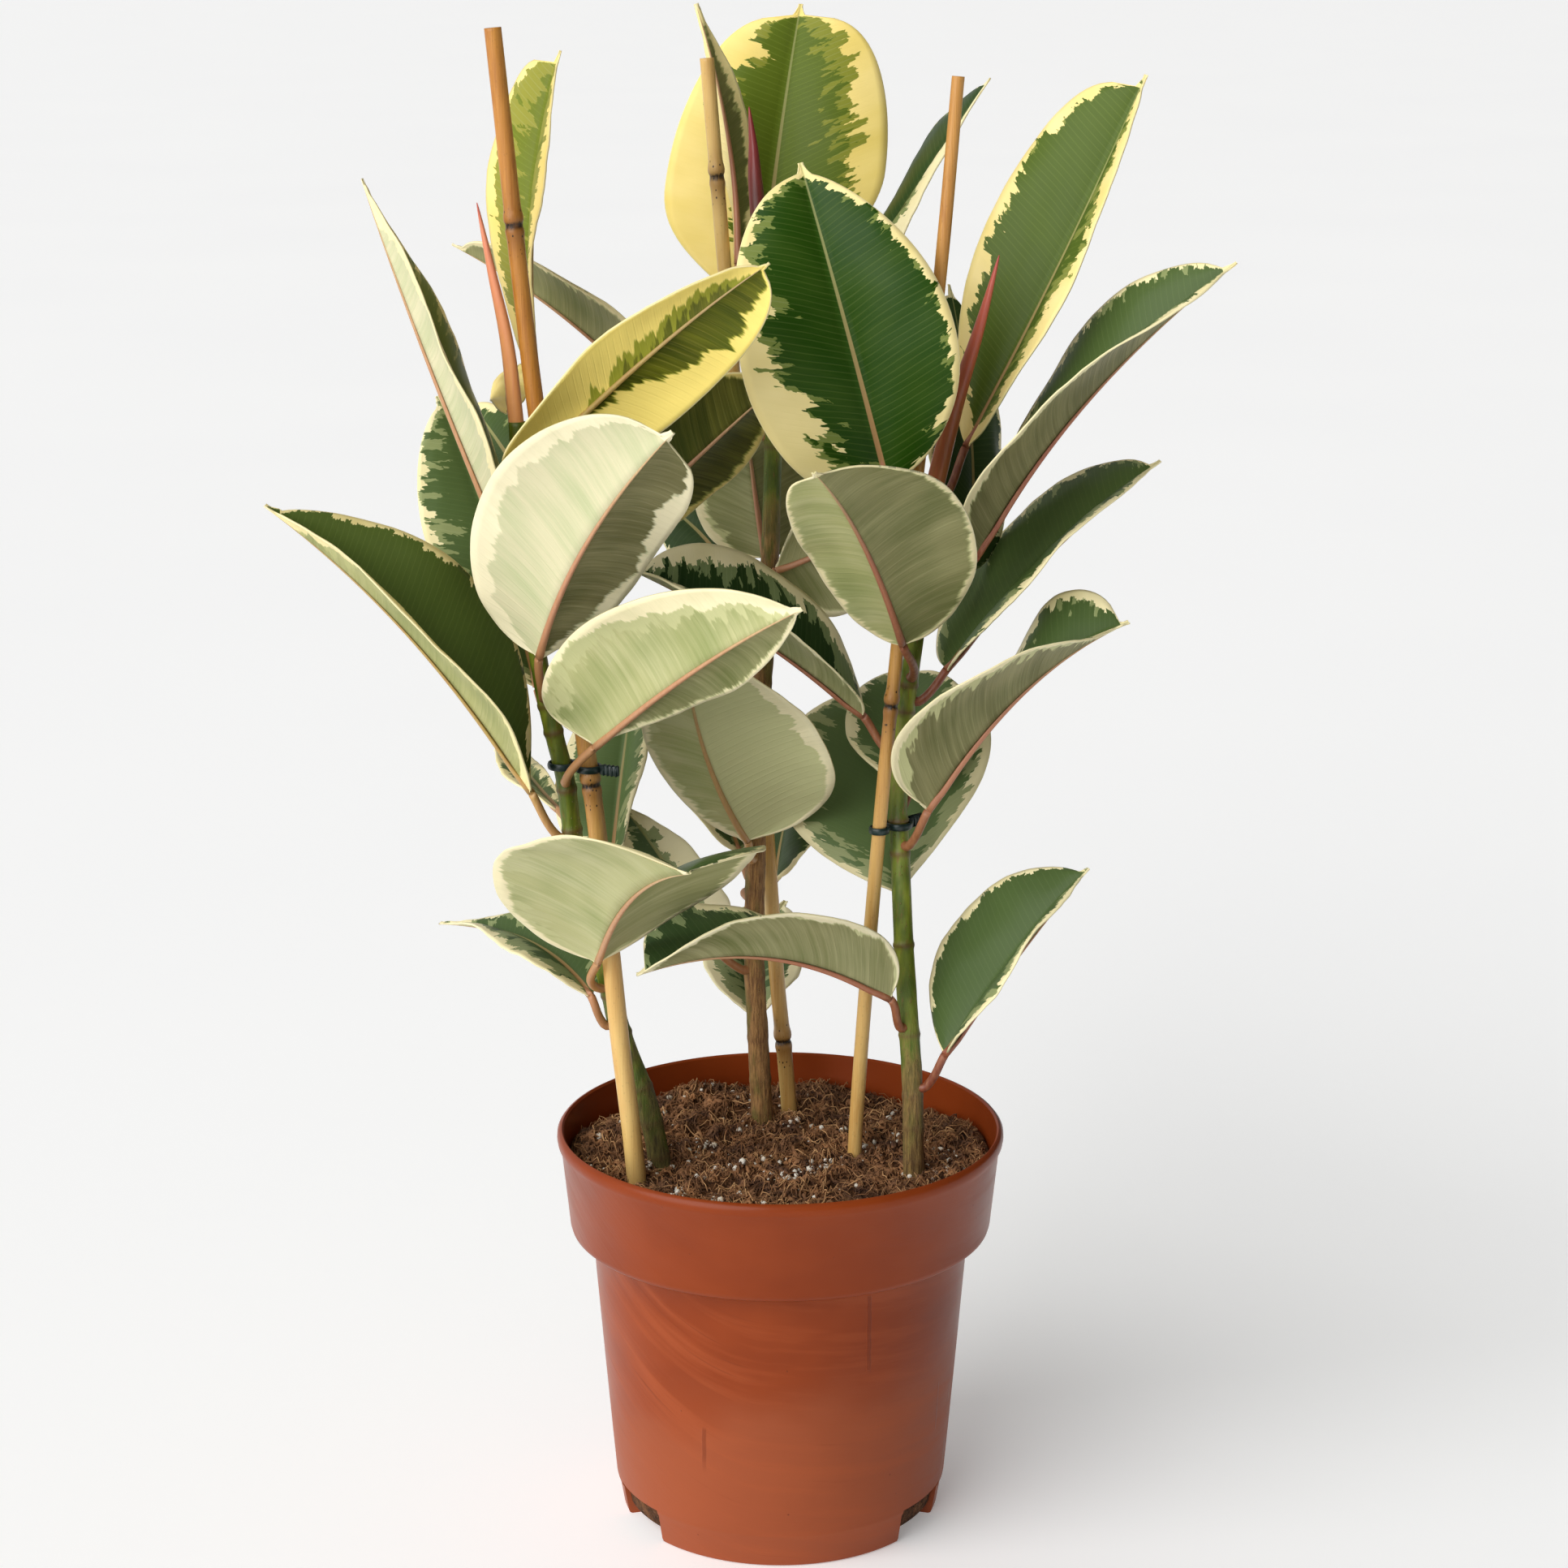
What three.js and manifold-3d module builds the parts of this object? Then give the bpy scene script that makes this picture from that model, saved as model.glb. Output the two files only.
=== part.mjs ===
// A potted variegated rubber plant: three stems beside bamboo canes in a 24 cm nursery pot.
// Millimetres, +Z up, front towards -Y. The origin is the middle of the pot's flat underside.
import * as THREE from 'three';
import { mergeVertices } from 'three/addons/utils/BufferGeometryUtils.js';
import Module from 'manifold-3d';

const wasm = await Module();
wasm.setup();

const GAP = 0.3;                // left between pieces that touch

// Pot
const POT_HEIGHT = 217;
const POT_LIP_RADIUS = 120;
const POT_FLOOR = 3;
const POT_SIDES = 34;
const NOTCH_ANGLES = [-150, -30, 90];   // degrees round from +X, one at the back
const NOTCH_HALF_ANGLE = 13;
const NOTCH_HEIGHT = 20;
const NOTCH_DEPTH_RADIUS = 75;
const NOTCH_OUTER_RADIUS = 99;
const POCKET_WALL = 2.5;
const POCKET_RADIUS = NOTCH_DEPTH_RADIUS - POCKET_WALL;
const POCKET_OUTER_RADIUS = 86;
const POCKET_HALF_ANGLE = NOTCH_HALF_ANGLE + 2;
const POCKET_TOP = NOTCH_HEIGHT + POCKET_WALL;
const DRAIN_HALF_ANGLE = 5;
const DRAIN_BOTTOM = 5;
const DRAIN_TOP = 11;

// Soil
const SOIL_BOTTOM = POT_FLOOR + GAP + 0.1;
const SOIL_EDGE_RADIUS = 113.3;
const SOIL_EDGE_HEIGHT = 195;
const SOIL_MOUND = 4;
// Heaps: middle in x and y, rise and spread
const SOIL_HEAPS = [[-45, 82, 10, 30], [25, 98, 6, 26], [98, 30, 7, 30], [-98, 15, 9, 34]];
const SOIL_SIDES = 26;
const SOIL_RINGS = 5;

// Stems and canes: points on the axis from the buried end up, with a radius at each end
const STEMS = {
  left: {
    buried: 120, foot: 6.0, top: 4.3,
    path: [[-64, -16, 197], [-72, -16, 238], [-80, -14, 259], [-86, -14, 279], [-90, -16, 300],
      [-96, -20, 325], [-104, -24, 362], [-108, -26, 390], [-111, -28, 417], [-116, -30, 440],
      [-121, -30, 465], [-126, -29, 501], [-130, -28, 547], [-132, -27, 600]],
  },
  middle: {
    buried: 120, foot: 6.2, top: 4.2,
    path: [[-10, 53, 197], [-12, 52, 240], [-14, 52, 285], [-14, 51, 327], [-12, 49, 400],
      [-8, 47, 476], [-5, 47, 530], [-4, 49, 598], [-7, 52, 640], [-11, 55, 697]],
  },
  right: {
    buried: 120, foot: 5.8, top: 4.3,
    path: [[71, -24, 197], [70, -22, 245], [67, -17, 292], [65, -11, 324], [63, -4, 371],
      [62, 0, 397], [66, 4, 449], [71, 4, 490], [76, 2, 530], [80, 0, 566]],
  },
};
const CANES = {
  left: {
    buried: 60, foot: 5.4, top: 4.2, joints: [702, 418],
    path: [[-76, -36, 198], [-84, -36, 278], [-94, -35, 388], [-109, -36, 510],
      [-123, -37, 621], [-139, -38, 793]],
  },
  middle: {
    buried: 60, foot: 4.6, top: 3.7, joints: [718, 212],
    path: [[5, 70, 197], [-2, 70, 278], [-7, 71, 354], [-21, 73, 560], [-38, 75, 775]],
  },
  right: {
    buried: 60, foot: 4.0, top: 3.2, joints: [455],
    path: [[40, 0, 197], [45, -7, 289], [53, -13, 400], [61, -16, 490], [80, -14, 671], [88, -12, 769]],
  },
};
const STEM_SIDES = 10;
const STEM_STEPS = 15;
const CANE_SIDES = 8;
const CANE_STEPS = 11;
const CANE_JOINT_RISE = 0.7;
const CANE_JOINT_REACH = 6;
const LEAF_SCAR_SPACING = 31;   // rings left round a stem by old leaves
const LEAF_SCAR_RISE = 0.5;

// The pointed sheath round the next leaf, at the tip of each stem
const SHEATHS = {
  left: { base: 3.2, path: [[-132, -27, 600], [-136, -29, 640], [-143, -31, 677], [-149, -33, 709]] },
  middle: { base: 3.4, path: [[-11, 55, 697], [-13, 56, 715], [-14, 57, 732], [-16, 58, 751]] },
  right: { base: 4.2, path: [[80, 0, 566], [89, -3, 605], [101, -5, 646], [110, -6, 681]] },
};
const SHEATH_SIDES = 8;

// Figure-eight clips that hold a stem to its cane
const TIE_HEIGHTS = { left: 423, right: 384 };
const TIE_WALL = 1.3;
const TIE_BAND = 3.6;
const TIE_PLAY = 0.7;           // between the band and what it holds
const TIE_TAIL = 13;

// Leaves
const BLADE_THICKNESS = 1.0;
const STALK_RADIUS = 2.2;
const STALK_CLEARANCE = 1.3;
const STALK_LEAN = 0.3;         // how far the stalk's first bend lies towards the blade
const STALK_SPREAD = 0.12;      // and away from the stem, against the stalk's length
const STALK_REACH = 0.3;        // how far the midrib's own direction runs back down the stalk
const RIB_HALF_WIDTH = 2.2;     // of the midrib under the blade, at the blade's base
const RIB_DEPTH = 2.4;
const BLADE_BULGE = 0.07;       // how far each half arches up, against its width
const MARGIN_WAVE = 2.0;
const STALK_STEPS = [0, 0.5];
const BENT_STALK_STEPS = [0, 0.3, 0.65];
const BLADE_STEPS = [0, 0.025, 0.1, 0.21, 0.35, 0.5, 0.65, 0.79, 0.89, 0.955, 1];
const DRIP_TIP = 0.965;         // where the rounded end of the blade gives way to the drip tip
const FORM = [0.5, 0.62, 0.5];  // widest place, fullness towards the base and towards the tip

// Every leaf, from the lowest up: the height at which its stalk leaves the stem, the base,
// middle and tip of its midrib, and how far its left and right margins lie from the middle,
// seen on the upper face with the tip up. A form gives the widest place and the fullness
// towards the base and the tip. A stalk that goes round something has a bend.
const LEAVES = {
  left: [
    { height: 278, base: [-100, -20, 296], middle: [-135, 16, 315], tip: [-186, 50, 315],
      left: [-12, -30, 8], right: [21, 22, 12],
      form: [0.4, 0.85, 1.1], rightForm: [0.35, 0.8, 1.5] },
    { height: 300, base: [-94, -47, 323], middle: [-73, -113, 377], tip: [-43, -170, 406],
      left: [59, 28, 12], right: [-66, -1, 20], form: [0.5, 0.6, 0.24], bend: [-104, -32, 307] },
    { height: 355, base: [-89, -4, 360], middle: [-83, 26, 415], tip: [-76, 54, 466],
      left: [-36, -2, -14], right: [13, -20, 13] },
    { height: 384, base: [-128, -34, 410], middle: [-187, -42, 495], tip: [-257, -45, 561],
      left: [10, -40, 13], right: [30, 36, 22],
      leftForm: [0.25, 0.7, 0.6], rightForm: [0.44, 1.1, 0.75] },
    { height: 393, base: [-115, -14, 395], middle: [-135, 45, 399], tip: [-146, 98, 399],
      left: [-17, -8, 10], right: [8, 0, 4], form: [0.5, 0.5, 0.5] },
    { height: 415, base: [-93, -54, 439], middle: [-41, -100, 489], tip: [11, -138, 527],
      left: [9, 14, -19], right: [-44, 12, 29],
      leftForm: [0.62, 1.4, 0.5], rightForm: [0.38, 0.24, 0.6], bend: [-109, -46, 424] },
    { height: 446, base: [-127, 4, 457], middle: [-150, 20, 536], tip: [-178, 34, 605],
      left: [-33, -8, -6], right: [12, -4, 7], form: [0.5, 0.62, 0.62] },
    { height: 460, base: [-121, -52, 485], middle: [-94, -92, 550], tip: [-50, -130, 610],
      left: [27, 28, -23], right: [-50, 13, 26],
      leftForm: [0.7, 0.75, 0.17], rightForm: [0.5, 0.5, 0.38] },
    { height: 493, base: [-102, -14, 523], middle: [-46, 2, 575], tip: [-2, 18, 613],
      left: [14, 20, -18], right: [-18, -12, 28], bend: [-112, -20, 500] },
    { height: 514, base: [-142, -28, 546], middle: [-177, -26, 637], tip: [-206, -20, 720],
      left: [14, -36, 8], right: [10, 38, 6],
      leftForm: [0.3, 0.4, 0.85], rightForm: [0.35, 0.6, 1] },
    { height: 538, base: [-132, -44, 573], middle: [-63, -77, 640], tip: [-5, -97, 686],
      left: [23, 4, -24], right: [-12, -16, 18],
      leftForm: [0.5, 0.4, 0.38], rightForm: [0.4, 0.2, 0.7] },
    { height: 555, base: [-130, 4, 562], middle: [-147, 48, 577], tip: [-167, 92, 594],
      left: [-12, 6, -16], right: [14, 0, 9] },
    { height: 580, base: [-136, -12, 603], middle: [-141, 30, 610], tip: [-138, 75, 617],
      left: [-9, -6, -2], right: [12, 6, 1], form: [0.5, 0.5, 0.5] },
    { height: 590, base: [-122, -14, 606], middle: [-126, 2, 692], tip: [-110, 6, 781],
      left: [-25, 26, -2], right: [5, -24, 2],
      form: [0.7, 1.4, 0.3], leftForm: [0.7, 1.4, 0.22] },
  ],
  middle: [
    { height: 253, base: [-12, 72, 253], middle: [-16, 108, 271], tip: [3, 150, 298],
      left: [-27, -8, 11], right: [28, -12, 8],
      leftForm: [0.55, 1, 0.5] },
    { height: 288, base: [-39, 38, 310], middle: [-59, 28, 350], tip: [-85, 16, 391],
      left: [-17, -6, -4], right: [23, -8, 2], form: [0.4, 0.5, 0.6] },
    { height: 327, base: [-3, 84, 329], middle: [1, 100, 352], tip: [10, 124, 389],
      left: [-16, 28, 1], right: [18, -24, 9], bend: [-27, 74, 329] },
    { height: 338, base: [-22, 66, 350], middle: [-37, 92, 387], tip: [-50, 112, 431],
      left: [-19, -22, 2], right: [26, 24, -1] },
    { height: 352, base: [-18, 36, 365], middle: [-40, 0, 425], tip: [-48, -38, 489],
      left: [64, -11, 7], right: [-29, -6, -1],
      leftForm: [0.38, 0.35, 0.5], rightForm: [0.6, 0.75, 0.5] },
    { height: 494, base: [-29, 66, 506], middle: [-45, 102, 522], tip: [-77, 130, 542],
      left: [-10, -12, -20], right: [15, 14, 18], bend: [-23, 55, 500] },
    { height: 504, base: [-2, 40, 512], middle: [29, 34, 526], tip: [61, 22, 546],
      left: [7, 9, -37], right: [-5, -12, 35] },
    { height: 516, base: [-8, 60, 515], middle: [-14, 62, 554], tip: [-19, 62, 600],
      left: [32, 14, 0], right: [-34, 17, -4], form: [0.45, 0.45, 0.5] },
    { height: 582, base: [-41, 52, 573], middle: [-102, 62, 635], tip: [-172, 74, 680],
      left: [11, -30, 18], right: [11, 36, -1] },
    { height: 598, base: [18, 72, 627], middle: [66, 78, 701], tip: [109, 84, 765],
      left: [-6, 38, 1], right: [5, -36, -1],
      leftForm: [0.62, 0.6, 0.5], rightForm: [0.35, 0.6, 1.7] },
    { height: 627, base: [-11, 82, 640], middle: [-2, 135, 718], tip: [11, 150, 801],
      left: [-59, -2, -2], right: [60, -2, 4], form: [0.45, 1, 0.3] },
    { height: 657, base: [-22, 64, 670], middle: [-27, 86, 733], tip: [-44, 98, 802],
      left: [11, 16, -1], right: [-5, 15, -3], form: [0.5, 0.7, 0.85] },
  ],
  right: [
    { height: 246, base: [87, -30, 267], middle: [122, -26, 318], tip: [161, -14, 364],
      left: [-28, 34, 13], right: [0, -36, 12],
      form: [0.5, 0.6, 0.5], rightForm: [0.42, 0.8, 0.8] },
    { height: 279, base: [57, -32, 298], middle: [-7, -50, 327], tip: [-74, -56, 319],
      left: [2, -30, 32], right: [-5, 46, 10],
      leftForm: [0.4, 0.4, 0.8], rightForm: [0.7, 0.8, 0.3], twist: -40 },
    { height: 326, base: [63, 12, 343], middle: [61, 48, 385], tip: [58, 105, 436],
      left: [-65, 2, 6], right: [53, -1, 25],
      form: [0.55, 0.7, 0.42], rightForm: [0.62, 1.05, 0.42] },
    { height: 374, base: [77, -24, 398], middle: [123, -28, 461], tip: [178, -22, 497],
      left: [-4, 38, 12], right: [-12, -44, 29],
      leftForm: [0.74, 1.6, 0.35], rightForm: [0.33, 0.28, 1.1], twist: 60 },
    { height: 391, base: [68, 14, 398], middle: [70, 50, 420], tip: [73, 88, 449],
      left: [-35, -8, 13], right: [33, -8, 13] },
    { height: 423, base: [43, 2, 442], middle: [-11, -16, 488], tip: [-75, -26, 525],
      left: [2, -34, 15], right: [14, 36, 25], form: [0.5, 0.5, 0.45], twist: -20 },
    { height: 449, base: [87, 6, 466], middle: [136, 14, 523], tip: [197, 24, 573],
      left: [-18, 38, 10], right: [1, -36, 6],
      leftForm: [0.55, 0.35, 0.45], rightForm: [0.45, 0.5, 0.7] },
    { height: 463, base: [62, -34, 488], middle: [40, -88, 550], tip: [16, -136, 592],
      left: [53, 17, 9], right: [-27, 14, -10],
      form: [0.5, 0.48, 0.42], rightForm: [0.55, 0.55, 0.25], bend: [71, -20, 474] },
    { height: 506, base: [98, 22, 516], middle: [101, 50, 578], tip: [90, 80, 658],
      left: [-27, -16, 16], right: [19, 18, -16] },
    { height: 518, base: [101, -10, 529], middle: [153, -14, 608], tip: [227, -20, 679],
      left: [-12, 38, 15], right: [-12, -38, 14],
      form: [0.45, 0.4, 0.55], leftForm: [0.5, 0.8, 0.55], twist: 50 },
    { height: 534, base: [54, -26, 569], middle: [32, -26, 651], tip: [10, -10, 727],
      left: [-54, -15, -13], right: [52, -11, 9],
      leftForm: [0.42, 0.3, 0.45], rightForm: [0.45, 0.6, 0.68], bend: [82, -28, 542] },
    { height: 556, base: [96, 14, 582], middle: [142, 24, 672], tip: [186, 40, 768],
      left: [-38, 24, 16], right: [5, -36, -1],
      leftForm: [0.6, 0.7, 0.33], rightForm: [0.42, 0.7, 0.55] },
  ],
};

const material = (color, roughness) => new THREE.MeshStandardMaterial({ color, roughness, metalness: 0 });
const point = (xyz) => new THREE.Vector3(...xyz);
const radians = THREE.MathUtils.degToRad;

// Joining and cutting

function solid(geometry) {
  const bare = geometry.clone();
  bare.deleteAttribute('normal');
  bare.deleteAttribute('uv');
  const merged = mergeVertices(bare, 1e-4);
  return new wasm.Manifold(new wasm.Mesh({
    numProp: 3,
    vertProperties: new Float32Array(merged.attributes.position.array),
    triVerts: new Uint32Array(merged.index.array),
  }));
}

function geometryOf(body) {
  const mesh = body.getMesh();
  const geometry = new THREE.BufferGeometry();
  geometry.setAttribute('position', new THREE.BufferAttribute(new Float32Array(mesh.vertProperties), 3));
  geometry.setIndex(new THREE.BufferAttribute(new Uint32Array(mesh.triVerts), 1));
  geometry.computeVertexNormals();
  return geometry;
}

function named(name, geometry, finish) {
  const mesh = new THREE.Mesh(geometry, finish);
  mesh.name = name;
  return mesh;
}

// A closed body through a row of rings. Corners run anticlockwise, seen along the row. Quads
// are split one way, or the other way where flipped(side) says so.
function loft(rings, flipped = () => false) {
  const sides = rings[0].length;
  const corners = rings.flat();
  const faces = [];
  for (let row = 0; row + 1 < rings.length; row++) {
    for (let side = 0; side < sides; side++) {
      const next = (side + 1) % sides;
      const [a, b] = [row * sides + side, (row + 1) * sides + side];
      const [d, c] = [row * sides + next, (row + 1) * sides + next];
      faces.push(...(flipped(side) ? [a, b, c, a, c, d] : [a, b, d, b, c, d]));
    }
  }
  for (const row of [0, rings.length - 1]) {
    const hub = corners.length;
    const middle = new THREE.Vector3();
    rings[row].forEach((corner) => middle.addScaledVector(corner, 1 / sides));
    corners.push(middle);
    for (let side = 0; side < sides; side++) {
      const [a, d] = [row * sides + side, row * sides + ((side + 1) % sides)];
      faces.push(...(row === 0 ? [hub, a, d] : [hub, d, a]));
    }
  }
  const positions = new Float32Array(corners.flatMap((corner) => corner.toArray()));
  const geometry = new THREE.BufferGeometry();
  geometry.setAttribute('position', new THREE.BufferAttribute(positions, 3));
  geometry.setIndex(faces);
  return geometry;
}

// A round ring of corners, square to the given direction
function ring(centre, along, across, radius, sides) {
  const first = across.clone().projectOnPlane(along).normalize();
  const second = first.clone().cross(along).normalize();
  return Array.from({ length: sides }, (_, side) => {
    const turn = (side / sides) * Math.PI * 2;
    return centre.clone()
      .addScaledVector(first, Math.cos(turn) * radius)
      .addScaledVector(second, Math.sin(turn) * radius);
  });
}

function rod(curve, radiusAt, sides, steps) {
  const across = new THREE.Vector3(1, 0, 0);
  const rings = Array.from({ length: steps + 1 }, (_, step) => {
    const place = step / steps;
    return ring(curve.getPoint(place), curve.getTangent(place), across, radiusAt(place), sides);
  });
  return loft(rings);
}

// Stems and canes

function axisOf(part) {
  const path = part.path.map(point);
  const start = path[0].clone();
  start.z = part.buried;
  start.addScaledVector(path[0].clone().sub(path[1]).setZ(0), 0.5);
  return new THREE.CatmullRomCurve3([start, ...path], false, 'centripetal');
}

function placeAtHeight(curve, height) {
  let [low, high] = [0, 1];
  for (let round = 0; round < 30; round++) {
    const half = (low + high) / 2;
    if (curve.getPoint(half).z < height) low = half;
    else high = half;
  }
  return low;
}

function stemRadius(part, curve) {
  return (place) => {
    const height = curve.getPoint(place).z;
    const scar = Math.max(0, Math.cos((height / LEAF_SCAR_SPACING) * Math.PI * 2)) ** 6;
    return part.foot + (part.top - part.foot) * place + LEAF_SCAR_RISE * scar;
  };
}

function caneRadius(part, curve) {
  return (place) => {
    const height = curve.getPoint(place).z;
    const joint = Math.max(...part.joints.map((at) => Math.exp(-(((height - at) / CANE_JOINT_REACH) ** 2))));
    return part.foot + (part.top - part.foot) * place + CANE_JOINT_RISE * joint;
  };
}

const stemShape = (part, extra = 0) => {
  const curve = axisOf(part);
  const radius = stemRadius(part, curve);
  return rod(curve, (place) => radius(place) + extra, STEM_SIDES, STEM_STEPS);
};

const caneShape = (part, extra = 0) => {
  const curve = axisOf(part);
  const radius = caneRadius(part, curve);
  return rod(curve, (place) => radius(place) + extra, CANE_SIDES, CANE_STEPS);
};

function sheathShape(part) {
  const path = part.path.map(point);
  const lift = path[1].clone().sub(path[0]).setLength(5 * GAP);
  path[0].add(lift);
  const curve = new THREE.CatmullRomCurve3(path);
  const radius = (place) => part.base * Math.cos(place * Math.PI * 0.5) ** 0.75 + 0.25;
  return rod(curve, radius, SHEATH_SIDES, 7);
}

// A clip is one flat band with a round opening for the stem, one for the cane, and a tail
function tieShape(height, stem, cane) {
  const [stemAxis, caneAxis] = [axisOf(stem), axisOf(cane)];
  const stemPlace = placeAtHeight(stemAxis, height);
  const canePlace = placeAtHeight(caneAxis, height);
  const from = stemAxis.getPoint(stemPlace);
  const to = caneAxis.getPoint(canePlace);
  const span = from.distanceTo(to);
  const openings = [
    [0, stemRadius(stem, stemAxis)(stemPlace) + TIE_PLAY],
    [span, caneRadius(cane, caneAxis)(canePlace) + TIE_PLAY],
  ];
  const band = (at, radius) => {
    const disc = new THREE.CylinderGeometry(radius, radius, TIE_BAND, 14).rotateX(Math.PI / 2);
    return solid(disc.translate(at, 0, 0));
  };
  const hole = (at, radius) => {
    const drill = new THREE.CylinderGeometry(radius, radius, TIE_BAND * 3, 14).rotateX(Math.PI / 2);
    return solid(drill.translate(at, 0, 0));
  };
  const bridge = new THREE.BoxGeometry(span, TIE_WALL * 2, TIE_BAND).translate(span / 2, 0, 0);
  const tail = new THREE.BoxGeometry(TIE_TAIL, TIE_WALL, TIE_BAND * 1.1);
  const pastCane = span + openings[1][1] + TIE_TAIL / 2;
  const pastStem = -openings[0][1] - TIE_TAIL / 2;
  tail.translate(to.x > from.x ? pastCane : pastStem, 0, 0);
  let clip = solid(bridge).add(solid(tail));
  openings.forEach(([at, radius]) => { clip = clip.add(band(at, radius + TIE_WALL)); });
  openings.forEach(([at, radius]) => { clip = clip.subtract(hole(at, radius)); });
  const heading = Math.atan2(to.y - from.y, to.x - from.x);
  const geometry = geometryOf(clip).rotateZ(heading);
  return geometry.translate(from.x, from.y, from.z);
}

// Leaves

// Half the blade's width at a place along the midrib, as a share of the widest
function outline(place, [widest, foot, head]) {
  const along = Math.min(place / DRIP_TIP, 1);
  const share = along < widest ? along / widest : (1 - along) / (1 - widest);
  const body = Math.sin(share * Math.PI / 2) ** (along < widest ? foot : head);
  const drip = 0.06 * (1 - place) / (1 - DRIP_TIP);
  return Math.max(body, place > 0.5 ? Math.min(drip, 0.06) : 0, 0.015);
}

function leafFrame(leaf) {
  const [base, middle, tip] = [leaf.base, leaf.middle, leaf.tip].map(point);
  const at = (place) => base.clone().multiplyScalar((1 - place) * (1 - 2 * place))
    .addScaledVector(middle, 4 * place * (1 - place))
    .addScaledVector(tip, place * (2 * place - 1));
  const slope = (place) => base.clone().multiplyScalar(4 * place - 3)
    .addScaledVector(middle, 4 - 8 * place)
    .addScaledVector(tip, 4 * place - 1).normalize();
  return { at, slope, left: point(leaf.left), right: point(leaf.right) };
}

// The corners of the blade's section at one place: over the top from right to left, then back
// under it, with the midrib standing out below
function bladeRing(leaf, place, seed) {
  const frame = leafFrame(leaf);
  const along = frame.slope(place);
  const turn = new THREE.Quaternion().setFromUnitVectors(frame.slope(0.5), along);
  const twist = new THREE.Quaternion().setFromAxisAngle(along, radians((leaf.twist ?? 0) * (place - 0.5)));
  const [left, right] = [frame.left, frame.right].map((side) => side.clone()
    .applyQuaternion(turn).applyQuaternion(twist));
  const up = {
    left: along.clone().cross(left).normalize(),
    right: right.clone().cross(along).normalize(),
  };
  up.middle = up.left.clone().add(up.right).normalize();
  const form = leaf.form ?? FORM;
  const widths = { left: outline(place, leaf.leftForm ?? form), right: outline(place, leaf.rightForm ?? form) };
  const rib = (1 - 0.7 * place) * RIB_HALF_WIDTH;
  const surface = (across) => {
    const [side, width] = across < 0 ? [left, widths.left] : [right, widths.right];
    const normal = across === 0 ? up.middle : up[across < 0 ? 'left' : 'right'];
    const share = Math.abs(across);
    const reach = side.length() * width;
    const wave = Math.sin(place * 11 + seed + across) * MARGIN_WAVE * share ** 2 * width;
    return frame.at(place).addScaledVector(side, share * width)
      .addScaledVector(normal, 4 * share * (1 - share) * BLADE_BULGE * reach + wave);
  };
  const under = (across, depth) => {
    const normal = across === 0 ? up.middle : up[across < 0 ? 'left' : 'right'];
    return surface(across).addScaledVector(normal, -depth);
  };
  const ribShare = (side, width) => Math.min(rib / (side.length() * width), 0.4);
  const ribDepth = BLADE_THICKNESS + RIB_DEPTH * (1 - 0.85 * place);
  return [
    ...[1, 0.5, 0, -0.5, -1].map(surface),
    under(-1, BLADE_THICKNESS),
    under(-0.5, BLADE_THICKNESS),
    under(-ribShare(left, widths.left), BLADE_THICKNESS),
    under(0, ribDepth),
    under(ribShare(right, widths.right), BLADE_THICKNESS),
    under(0.5, BLADE_THICKNESS),
    under(1, BLADE_THICKNESS),
  ];
}

function leafShape(leaf, stemName, seed) {
  const frame = leafFrame(leaf);
  const axis = axisOf(STEMS[stemName]);
  const base = point(leaf.base);
  const joint = axis.getPoint(placeAtHeight(axis, leaf.height));
  const outward = point(leaf.bend ?? leaf.base).sub(joint).setZ(0).normalize();
  joint.addScaledVector(outward, STEMS[stemName].foot + STALK_CLEARANCE);
  const reach = joint.distanceTo(base);
  const leaning = joint.clone().lerp(base, STALK_LEAN).addScaledVector(outward, reach * STALK_SPREAD);
  const bend = leaf.bend ? point(leaf.bend) : leaning;
  const arrive = base.clone().addScaledVector(frame.slope(0), -STALK_REACH * reach);
  const stalk = new THREE.CubicBezierCurve3(joint, bend, arrive, base);
  const stalkRing = (place) => {
    const along = place === 0 ? outward : stalk.getTangent(place);
    const corners = ring(stalk.getPoint(place), along, frame.right, STALK_RADIUS, 12);
    return corners.map((_, side) => corners[(side + 1) % 12]);
  };
  const rings = [
    ...(leaf.bend ? BENT_STALK_STEPS : STALK_STEPS).map(stalkRing),
    ...BLADE_STEPS.map((place) => (place === 0 ? stalkRing(1) : bladeRing(leaf, place, seed))),
  ];
  return loft(rings, (side) => side > 4 && side < 11);
}

// Pot and soil

function lathe(profile, sides) {
  const outlinePoints = profile.map(([radius, height]) => new THREE.Vector2(radius, height));
  return new THREE.LatheGeometry(outlinePoints, sides).rotateX(Math.PI / 2);
}

// A block between two radii, two angles and two heights
function ringSector(inner, outer, middleAngle, halfAngle, bottom, top) {
  const [start, end] = [radians(middleAngle - halfAngle), radians(middleAngle + halfAngle)];
  const shape = new THREE.Shape();
  shape.absarc(0, 0, outer, start, end, false);
  shape.absarc(0, 0, inner, end, start, true);
  const settings = { depth: top - bottom, bevelEnabled: false, curveSegments: 4 };
  return new THREE.ExtrudeGeometry(shape, settings).translate(0, 0, bottom);
}

const POT_PROFILE = [
  [0, 0], [84.5, 0], [86.6, 2.5], [89.2, 17], [90.2, 19], [92.2, 42], [100.2, 140],
  [101, 158], [112.4, 162.2], [113.4, 164], [118, 209], [119.8, 211], [POT_LIP_RADIUS, 214.5],
  [118.6, POT_HEIGHT],
  [116.6, 216.4], [115.8, 209], [111, 165], [99, 161], [97.8, 140], [89.8, 42],
  [87.4, 19], [84.2, POT_FLOOR], [0, POT_FLOOR],
];

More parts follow.
